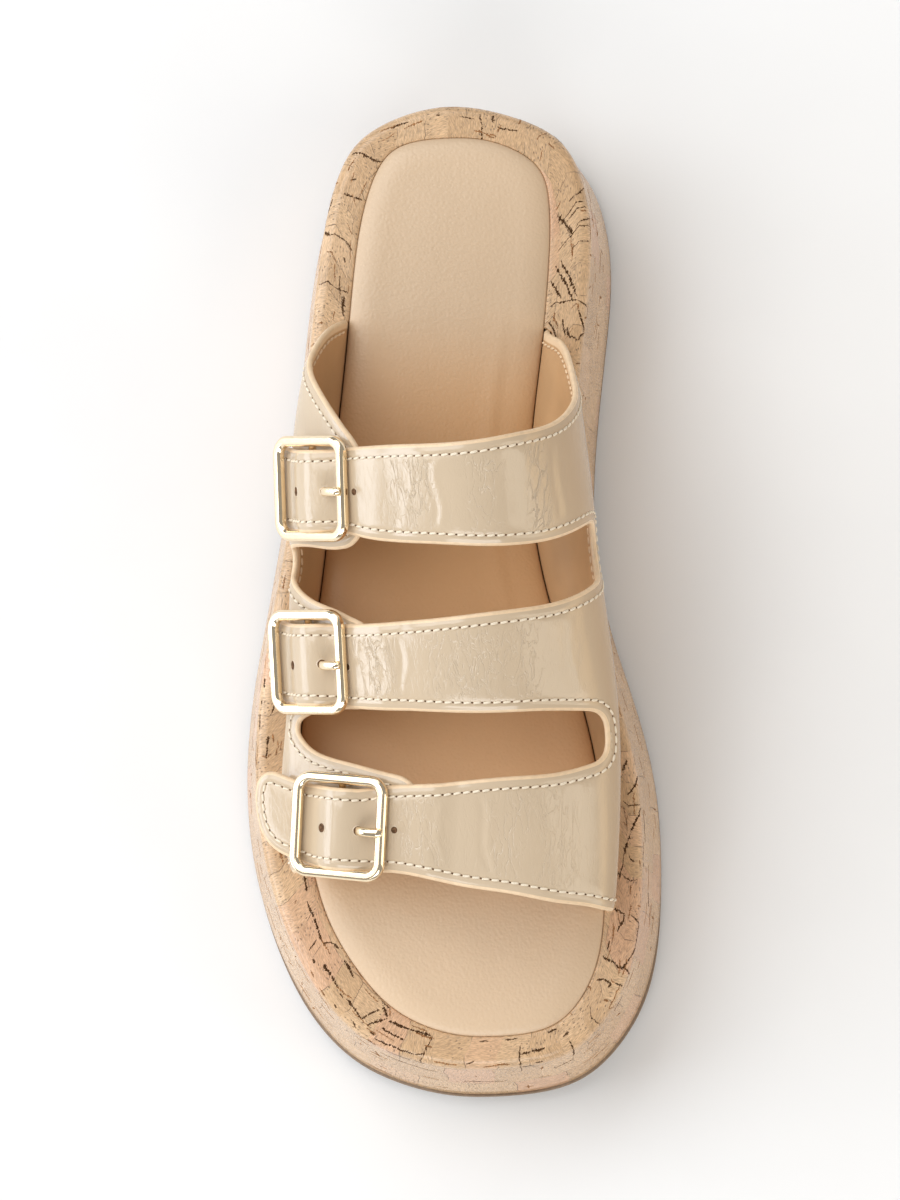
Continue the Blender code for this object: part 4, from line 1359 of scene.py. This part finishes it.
def footbed_shape():
    """Rings up the side, then rings in from the seam whose height is a superellipse of the distance
    in, and a sheet across the middle that lifts a little along the inner arch."""
    bed = ring(INSOLE_OUTLINE, np.linspace(0, 1, RIM_STEPS))
    level = deck(bed[:, 1])
    rings = [level_ring(bed, level - drop) for drop in (RECESS - GAP, RECESS / 2, PAD_SEAM)]
    for share in PAD_SHARES:
        loop = grown(bed, -PAD_EDGE * share)
        height = PAD_RISE * (1 - (1 - share) ** 2.4) ** 0.62 - PAD_SEAM
        rings.append(level_ring(loop, deck(loop[:, 1]) + height))
    rim = rings[-1]
    top = across_loop(rim, PAD_ACROSS)
    y = top[..., 1]
    flat = top[..., :2].reshape(-1, 2)
    inner = distance_to(flat, rim[: len(rim) // 2 + 1, :2]).reshape(y.shape)
    edge = distance_to(flat, rim[:, :2]).reshape(y.shape)
    arch = smooth((y - PAD_ARCH_FRONT) / PAD_ARCH_RUN) * smooth((PAD_ARCH_BACK - y) / PAD_ARCH_BACK_RUN)
    arch = arch * smooth(edge / PAD_ARCH_EDGE) * np.exp(-((inner / PAD_ARCH_WIDE) ** 2))
    top[..., 2] = deck(y) + PAD_RISE - PAD_SEAM + PAD_CROWN * smooth(edge / PAD_CROWN_RUN) + PAD_ARCH * arch
    return join([skin(np.array(rings)), gridded(top), gridded(across_loop(rings[0], END_ACROSS))])


def ease(count):
    """Shares from 0 to 1 that start close together."""
    return (np.arange(count + 1) / count) ** 1.7


def strap_comb():
    """The three straps and the inner quarter: surfaces, rows of v from tip to base, edge tables and
    gap ends."""
    first, second = STRAP_GAP_ENDS
    shared = [np.linspace(SPLIT_V, second[0] - second[1], 22)[:-1]]
    shared += [(second[0] - second[1] * ease(22))[::-1][:-1], (first[0] - first[1] * ease(26))[::-1][:-1]]
    shared += [np.linspace(first[0], BASE_V, 64)]
    rows = []
    tips = []
    for _, leave, _, seat, tip, _, _ in STRAPS:
        start = leave - (seat + tip) / REACH
        round_off = start + ease(20) * TIP_ROUND / REACH
        rows.append(np.concatenate([round_off, np.linspace(round_off[-1], SPLIT_V, 118)[1:-1]] + shared))
        tips.append(start)
    surfaces = [strap_surface(k) for k in range(3)]
    return surfaces, rows, STRAP_EDGES, STRAP_GAP_ENDS, 1, tips, [TIP_ROUND / REACH] * 3


def tab_comb():
    """The three tabs and the outer quarter, on the foot's own surface, in the same form."""
    first, second = TAB_GAP_ENDS
    opening = first[0] + first[1] * ease(22)
    shared = [np.linspace(0, first[0], 40)[:-1], opening[opening < second[0] - 0.006]]
    shared += [second[0] + second[1] * ease(20)]
    rows = []
    tips = [row[6] for row in STRAPS]
    for tip in tips:
        own = np.linspace(TAB_SPLIT_V, tip - TAB_ROUND, 14)[1:-1]
        rows.append(np.concatenate(shared + [own, (tip - TAB_ROUND * ease(14))[::-1]])[::-1])
    return [last] * 3, rows, TAB_EDGES, TAB_GAP_ENDS, -1, tips, [TAB_ROUND] * 3


class Sheet:
    """A leather sheet of three teeth: its grids, its places and normals, and the loop round its edge."""

    def __init__(self, surfaces, rows, edges, ends, sign, tips, rounds, columns):
        self.surfaces = surfaces
        self.sign = sign
        share = np.linspace(0, 1, columns)
        share = share - np.sin(2 * np.pi * share) * 0.05
        shapes = [(len(v), columns) for v in rows]
        starts = np.cumsum([0] + [len(v) * columns for v in rows])
        places = []
        for k, v in enumerate(rows):
            back, front = comb_edges(edges, ends, sign, v, tips, rounds)[:, k].T[..., None]
            places.append(stacked(v[:, None], back + (front - back) * share, k, share).reshape(-1, 4))
        self.v, self.y, self.tooth, self.share = np.concatenate(places).T
        self.under = self.on(self.tooth, self.v, self.y)
        self.normal = self.normals(self.tooth, self.v, self.y)
        self.faces = np.concatenate([grid_faces(*shape, start) for shape, start in zip(shapes, starts)])
        index = [np.arange(r * c).reshape(r, c) + start for (r, c), start in zip(shapes, starts)]
        stops = [int(np.argmin(np.abs(rows[g] - end[0]))) + 1 for g, end in enumerate(ends)]
        backs = [int(np.argmin(np.abs(rows[g + 1] - end[0]))) + 1 for g, end in enumerate(ends)]
        path = [index[0][::-1, 0], index[0][: stops[0], -1]]
        path += [index[1][: backs[0], 0][::-1], index[1][: stops[1], -1]]
        path += [index[2][: backs[1], 0][::-1], index[2][:, -1]]
        self.edge = self.apart(np.concatenate(path))
        self.base = self.apart(np.concatenate([index[k][-1, ::-1] for k in (2, 1, 0)]))

    def apart(self, loop):
        """A loop of point numbers without those that lie on the one before."""
        moved = np.linalg.norm(np.diff(self.under[loop], axis=0), axis=1) > SAME_PLACE
        return loop[np.append(True, moved)]

    def on_teeth(self, find, tooth, v, y):
        """What a function of a surface, v and y gives, each place on its own tooth's surface."""
        found = np.empty((len(v), 3))
        for k, surface in enumerate(self.surfaces):
            own = tooth == k
            found[own] = find(surface, v[own], y[own])
        return found

    def on(self, tooth, v, y):
        """Points of the underside."""
        return self.on_teeth(lambda surface, v, y: surface(v, y), tooth, v, y)

    def normals(self, tooth, v, y):
        """Unit normals of the underside."""
        return self.on_teeth(outward, tooth, v, y)

    def edge_out(self, loop):
        """Unit directions out of the sheet at a loop's points: square to its run and to the normals."""
        run = np.gradient(self.under[loop], axis=0)
        return self.sign * unit(np.cross(run, self.normal[loop]))

    def inset(self, loop, by):
        """The loop moved in by a distance along the surface: steps of v and y that give that step in
        space."""
        place = (self.tooth[loop], self.v[loop], self.y[loop])
        step = -self.edge_out(loop) * by
        along_v, along_y = [
            self.on_teeth(lambda surface, v, y: slopes(surface, v, y)[way], *place) for way in (0, 1)
        ]
        a = (along_v * along_v).sum(1)
        b = (along_v * along_y).sum(1)
        c = (along_y * along_y).sum(1)
        p = (along_v * step).sum(1)
        q = (along_y * step).sum(1)
        area = a * c - b * b
        return place[0], place[1] + (c * p - b * q) / area, place[2] + (a * q - b * p) / area


def crease_depth(sheet):
    """Soft trough with a ridge beside it along each crease, fading at the strap's edges."""
    depth = np.zeros(len(sheet.v))
    fade = smooth(np.minimum(sheet.share, 1 - sheet.share) / 0.22)
    for k, v, lean, deep, half in CREASES:
        wander = 0.7 * np.sin(sheet.share * 9 + v * 20)
        way = (sheet.v - v) * CREASE_REACH + lean * (sheet.share - 0.5) + wander
        trough = np.exp(-((way / half) ** 2)) - 0.7 * np.exp(-(((way - 1.8 * half) / half) ** 2))
        depth += np.where(sheet.tooth == k, deep * trough * fade, 0)
    return depth


def crinkle_share(sheet):
    """How crinkled the coat is: bands with soft ends across the straps, and a trace elsewhere."""
    share = np.full(len(sheet.v), CRINKLE_LEAST)
    for k, v, half, much in CRINKLES:
        band = much * np.exp(-(((sheet.v - v) / half) ** 4))
        share = np.maximum(share, np.where(sheet.tooth == k, band, 0))
    return share


def leather_shape(sheet, sizes, creased):
    """Skins of the sheet: underside, top side swollen inside its stitching, and a rounded edge
    between them."""
    wall = sizes.wall / MM
    line = sizes.stitch_inset / MM
    away = distance_to(sheet.under, sheet.under[sheet.edge])
    swell = sizes.padding / MM * smooth(away / SWELL_RUN) - EDGE_DROP * (1 - smooth(away / EDGE_RUN))
    swell = swell - STITCH_GROOVE * np.exp(-(((away - line) / STITCH_GROOVE_HALF) ** 2))
    crinkle = np.full(len(away), CRINKLE_LEAST)
    if creased:
        swell = swell - crease_depth(sheet) * smooth((away - CREASE_CLEAR[0]) / CREASE_CLEAR[1])
        crinkle = crinkle_share(sheet) * smooth((away - CRINKLE_CLEAR[0]) / CRINKLE_CLEAR[1])
    over = sheet.under + sheet.normal * (wall + swell)[:, None]
    parts = [(over, sheet.faces), (sheet.under, sheet.faces[:, ::-1])]
    turn = np.linspace(-0.5, 0.5, 9)[None, :, None] * np.pi
    for loop in (sheet.edge, sheet.base):
        low = sheet.under[loop][:, None]
        high = over[loop][:, None]
        out = sheet.edge_out(loop)[:, None] * wall * EDGE_BULGE
        parts.append(gridded((low + high) / 2 + (high - low) / 2 * np.sin(turn) + out * np.cos(turn)))
    points, faces = join(parts)
    face_material = np.repeat([0, 1, 2, 2], [len(part[1]) for part in parts])
    bare = np.zeros(len(points) - 2 * len(away))
    marks = {"edge": (away, away, bare), "crinkle": (crinkle, crinkle, bare)}
    marks = {name: np.concatenate(values) for name, values in marks.items()}
    return points, faces, face_material, marks


def stitch_shape(sheet, sizes, shown, inside):
    """Threads and needle holes along the inset edge, on top or inside. A thread is an ellipsoid with blunt
    ends between two holes, turned a little, and a hole is a small shallow dish, dark with painted shade for
    its depth."""
    pitch = sizes.stitch_pitch / MM
    loop = sheet.edge[shown(sheet.v[sheet.edge])]
    place = sheet.inset(loop, sizes.stitch_inset / MM)
    normal = sheet.normals(*place)
    path = sheet.on(*place)
    if inside:
        normal = -normal
    else:
        path = path + normal * (sizes.wall / MM - THREAD_SINK)
    way = np.concatenate(([0], np.cumsum(np.linalg.norm(np.diff(path, axis=0), axis=1))))

    def at(places, values):
        return np.column_stack([np.interp(places, way, values[:, axis]) for axis in range(3)])

    def axes(places, reach):
        up = unit(at(places, normal))
        along = unit(at(places + reach, path) - at(places - reach, path))
        return at(places, path), along, np.cross(up, along), up

    holes = np.arange(pitch, way[-1] - pitch, pitch)
    centre, along, side, up = axes(holes[:-1] + pitch / 2, 0.6)
    along, side = unit(along + THREAD_LEAN * side), unit(side - THREAD_LEAN * along)
    turn = np.linspace(0, 2, 9) * np.pi
    lean = np.linspace(-0.5, 0.5, 9)[:, None] * np.pi
    length = np.sign(np.sin(lean)) * np.abs(np.sin(lean)) ** 0.8 * pitch * THREAD_SHARE
    thick = np.cos(lean) ** 0.55 * sizes.thread / MM / 2
    thread = stacked(length, thick * np.cos(turn), THREAD_RISE + thick * np.sin(turn))
    reach, height = np.array(NEEDLE_DISH).T[..., None]
    dish = stacked(reach * np.cos(turn) * DISH_LONG, reach * np.sin(turn), height)
    return copies(thread, centre, along, side, up), copies(dish, *axes(holes, 0.5))


def punched_hole_shape(k, ways, sizes):
    """Punched holes along strap k: a low rounded lip round a dark disc of painted shade where the hole's
    depth would be, turned about the surface's normal."""
    leave, _, seat = STRAPS[k][1:4]
    surface = strap_surface(k)
    ways = np.asarray(ways)
    v = leave + (ways - seat) / REACH
    y = np.where(ways > HOLE_CENTRED_FROM, middle_line(k, np.maximum(v, leave)), strap_axes(k)[5])
    up = outward(surface, v, y)
    at = surface(v, y) + up * (sizes.wall + sizes.padding) / MM
    along = unit(slopes(surface, v, y)[0])
    wide = np.where(np.abs(ways) < PRONG_HOLE_WITHIN, PRONG_HOLE_WIDE, 1.0)[:, None, None]
    radius = sizes.punch / MM / 2 * wide
    reach, height = np.array(HOLE_LIP).T[..., None]
    turn = np.linspace(0, 2, 25) * np.pi
    lips = stacked(reach * radius * np.cos(turn), reach * radius * np.sin(turn), height)
    # the three innermost bands take the dark hole material: painted shade for the hole's depth
    dark = np.tile(np.repeat([0, 0, 1, 1, 1], len(turn) - 1), len(at))
    return (*copies(lips, at, along, np.cross(up, along), up), dark)


def frame_shape(k, sizes):
    """Buckle frame: a boxy rod round a square with arc corners, and a straight round bar across its
    middle."""
    base, down, across, up = buckle_axes(k)
    middle = base + across * FRAME_SHIFT
    corner = FRAME_HALF - FRAME_CORNER
    turn = (np.arange(4)[:, None] + np.linspace(0, 1, 15)[None]) * math.pi / 2
    u = corner * np.array([1, -1, -1, 1])[:, None] + FRAME_CORNER * np.cos(turn)
    a = corner * np.array([1, 1, -1, -1])[:, None] + FRAME_CORNER * np.sin(turn)
    path = middle - u.reshape(-1, 1) * down + a.reshape(-1, 1) * across + up * FRAME_LEVEL
    square = rod(path, up, sizes.frame_wide / MM, sizes.frame_thick / MM, np.array(FRAME_OUTLINE), True)
    a = FRAME_HALF - np.array((0, 0.5, 1.3, FRAME_HALF))
    h = np.array((FRAME_LEVEL, BAR_LEVEL + 0.4, BAR_LEVEL, BAR_LEVEL))
    a = np.concatenate((-a, a[-2::-1]))[:, None]
    h = np.concatenate((h, h[-2::-1]))[:, None]
    path = middle + across * a + up * h
    bar = rod(path, -down, 2 * BAR_RADIUS, 2 * BAR_RADIUS, superellipse(20, 1.0), False)
    return join([square, bar])


def prong_shape(k, sizes):
    """Prong: a rod that loops round the bar, runs under the strap, comes up through it and lies on
    the frame."""
    base, down, across, up = buckle_axes(k)
    rest = FRAME_LEVEL + sizes.frame_thick / MM / 2 + PRONG_REST
    turn = np.linspace(-2.6, 1.2, 16)[-6:-2]
    loop = np.column_stack((PRONG_LOOP * np.sin(turn), BAR_LEVEL - PRONG_LOOP * np.cos(turn)))
    knots = np.array(
        (
            (2.6, BAR_LEVEL - 0.9),
            (4.4, BAR_LEVEL - 0.5),
            (5.9, BAR_LEVEL + 1.3),
            (7.2, rest - 0.5),
            (8.8, rest + 0.1),
            (10.6, rest + 0.15),
            (12.6, rest + 0.05),
            (13.7, rest - 0.25),
        )
    )
    spaced = np.column_stack((np.arange(len(knots)), knots))
    way = np.concatenate((loop, table(spaced, np.linspace(0, len(knots) - 1, 44))))
    path = base - down * way[:, :1] + up * way[:, 1:]
    size = PRONG_SIZE * (1 - 0.45 * smooth((way[:, 0] - 12.4) / 1.4))
    return rod(path, across, size * 0.86, size * 1.05, superellipse(18, 0.8), False)


class SANDAL_OT_outsole(bpy.types.Operator):
    """Build the grooved rubber outsole"""

    bl_idname = "sandal.outsole"
    bl_label = "Outsole"

    def execute(self, context):
        made = put("outsole_rubber", *outsole_shape(), [rubber_finish(context.scene.sandal_colours)])
        stand_for(made, "outsole", "outsole")
        return {"FINISHED"}


class SANDAL_OT_platform(bpy.types.Operator):
    """Build the platform in its cork print, with its cracks"""

    bl_idname = "sandal.platform"
    bl_label = "Platform"

    def execute(self, context):
        colours = context.scene.sandal_colours
        points, faces, wrap = platform_shape()
        made = put("platform_wrap", points, faces, [cork_finish(colours)], wrap=wrap)
        stand_for(made, "platform", "platform")
        points, faces, faint = crack_shape()
        shades = [plain_finish("dark", colours.crack, "crack")]
        shades.append(plain_finish("dark", [c * 4 for c in colours.crack], "faint_crack"))
        made = put("cork_cracks", points, faces, shades, faint)
        stand_for(made, "platform")
        return {"FINISHED"}


class SANDAL_OT_footbed(bpy.types.Operator):
    """Build the padded footbed"""

    bl_idname = "sandal.footbed"
    bl_label = "Footbed"

    def execute(self, context):
        made = put("footbed_pad", *footbed_shape(), [footbed_finish(context.scene.sandal_colours)])
        stand_for(made, "insole", "insole")
        return {"FINISHED"}


class SANDAL_OT_upper(bpy.types.Operator):
    """Build the straps with the inner quarter, the tabs with the outer quarter, and their stitching"""

    bl_idname = "sandal.upper"
    bl_label = "Upper"

    def execute(self, context):
        sizes = context.scene.sandal_sizes
        colours = context.scene.sandal_colours
        paint = plain_finish("edge_paint", colours.edge)
        leather = [patent_finish(colours), lining_finish(colours), paint]
        # the hole material is painted shade in the needle holes
        sewing = [plain_finish("thread", colours.thread), plain_finish("dark", colours.needle, "hole")]
        plans = (
            ("straps", strap_comb(), STRAP_COLUMNS, True, lambda v: v < STRAP_SEWN_TO_V),
            ("tabs", tab_comb(), TAB_COLUMNS, False, lambda v: v > TAB_SEWN_FROM_V),
        )
        for name, plan, columns, creased, shown in plans:
            sheet = Sheet(*plan, columns)
            points, faces, face_material, marks = leather_shape(sheet, sizes, creased)
            made = put(f"upper_{name}", points, faces, leather, face_material, marks=marks)
            stand_for(made, "upper", "upper")
            threads, dishes = stitch_shape(sheet, sizes, shown, False)
            face_material = np.repeat([0, 1], [len(threads[1]), len(dishes[1])])
            made = put(f"stitching_{name}", *join([threads, dishes]), sewing, face_material)
            stand_for(made, "upper")
            made = put(f"lining_stitching_{name}", *stitch_shape(sheet, sizes, shown, True)[0], [paint])
            stand_for(made, "upper")
        return {"FINISHED"}


class SANDAL_OT_holes(bpy.types.Operator):
    """Punch the spare holes and the prong's hole in each strap"""

    bl_idname = "sandal.holes"
    bl_label = "Strap holes"

    def execute(self, context):
        sizes = context.scene.sandal_sizes
        colours = context.scene.sandal_colours
        pitch = sizes.punch_pitch / MM
        ways = (SPARE_HOLE_AT - pitch, HOLE_AT, SPARE_HOLE_AT + pitch)
        # the hole material is painted shade in the punched holes
        materials = [patent_finish(colours), plain_finish("dark", colours.needle, "hole")]
        for k, row in enumerate(STRAPS):
            points, faces, dark = punched_hole_shape(k, ways, sizes)
            made = put(f"strap_holes_{row[0]}", points, faces, materials, dark, turn=False)
            stand_for(made, "upper")
        return {"FINISHED"}


class SANDAL_OT_buckles(bpy.types.Operator):
    """Build the polished frames and prongs"""

    bl_idname = "sandal.buckles"
    bl_label = "Buckles"

    def execute(self, context):
        sizes = context.scene.sandal_sizes
        gold = plain_finish("polished_gold", context.scene.sandal_colours.gold)
        for k, row in enumerate(STRAPS):
            made = put(f"polished_frame_{row[0]}", *frame_shape(k, sizes), [gold])
            stand_for(made, "buckle", f"buckle_frame_{row[0]}")
            made = put(f"polished_prong_{row[0]}", *prong_shape(k, sizes), [gold])
            stand_for(made, "buckle", f"buckle_prong_{row[0]}")
        return {"FINISHED"}


def softbox(name, place, size, tint, spread, power):
    """A soft rectangular light that faces the shoe. A small spread keeps it off the floor in front of
    it."""
    lamp = bpy.data.lights.new(name, "AREA")
    lamp.shape = "RECTANGLE"
    lamp.size, lamp.size_y = size
    lamp.energy = power
    lamp.color = tint
    lamp.spread = spread
    made = bpy.data.objects.new(name, lamp)
    bpy.context.scene.collection.objects.link(made)
    made.location = place
    made.rotation_euler = (Vector(AIM) - Vector(place)).to_track_quat("-Z", "Y").to_euler()


class SANDAL_OT_stage(bpy.types.Operator):
    """Set the floor, the soft light and the camera over the toe"""

    bl_idname = "sandal.stage"
    bl_label = "Stage"

    def execute(self, context):
        scene = context.scene
        stage = scene.sandal_stage
        share = np.linspace(-1, 1, 9) * FLOOR_HALF / MM
        points, faces = gridded(stacked(share[:, None], share, 0.0) + CENTRE)
        floor = put("floor", points, faces, [plain_finish("floor", stage.floor)], turn=False)
        room = bpy.data.worlds.new("room")
        room.use_nodes = True
        room.node_tree.nodes["Background"].inputs["Color"].default_value = colour(WHITE)
        room.node_tree.nodes["Background"].inputs["Strength"].default_value = stage.sky
        scene.world = room
        scene.view_settings.view_transform = "Standard"
        for row in SOFTBOXES:
            softbox(*row, getattr(stage, row[0]))
        lens = bpy.data.cameras.new("camera")
        lens.lens = stage.lens
        lens.sensor_fit = "VERTICAL"
        lens.sensor_height = SENSOR
        camera = bpy.data.objects.new("camera", lens)
        scene.collection.objects.link(camera)
        forward = Vector(CAMERA_FORWARD).normalized()
        right = forward.cross(Vector(CAMERA_UP)).normalized()
        turn = Matrix((right, right.cross(forward), -forward)).transposed()
        camera.matrix_world = Matrix.Translation(CAMERA_AT) @ turn.to_4x4()
        scene.camera = camera
        return {"FINISHED"}


class SANDAL_PT_panel(bpy.types.Panel):
    """Pieces of the sandal"""

    bl_label = "Sandal"
    bl_idname = "SANDAL_PT_panel"
    bl_space_type = "VIEW_3D"
    bl_region_type = "UI"
    bl_category = "Sandal"

    def draw(self, context):
        for operator in OPERATORS:
            self.layout.operator(operator.bl_idname)
        for group in (context.scene.sandal_sizes, context.scene.sandal_colours, context.scene.sandal_stage):
            for name in group.__annotations__:
                self.layout.prop(group, name)


GROUPS = (SandalSizes, SandalColours, SandalStage)
OPERATORS = (
    SANDAL_OT_outsole,
    SANDAL_OT_platform,
    SANDAL_OT_footbed,
    SANDAL_OT_upper,
    SANDAL_OT_holes,
    SANDAL_OT_buckles,
    SANDAL_OT_stage,
)


def register():
    for group in (*GROUPS, *OPERATORS, SANDAL_PT_panel):
        bpy.utils.register_class(group)
    bpy.types.Scene.sandal_sizes = PointerProperty(type=SandalSizes)
    bpy.types.Scene.sandal_colours = PointerProperty(type=SandalColours)
    bpy.types.Scene.sandal_stage = PointerProperty(type=SandalStage)


def unregister():
    del bpy.types.Scene.sandal_stage
    del bpy.types.Scene.sandal_colours
    del bpy.types.Scene.sandal_sizes
    for group in reversed((*GROUPS, *OPERATORS, SANDAL_PT_panel)):
        bpy.utils.unregister_class(group)


def main():
    register()
    bpy.ops.sandal.outsole()
    bpy.ops.sandal.platform()
    bpy.ops.sandal.footbed()
    bpy.ops.sandal.upper()
    bpy.ops.sandal.holes()
    bpy.ops.sandal.buckles()
    bpy.ops.sandal.stage()


if __name__ == "__main__":
    main()
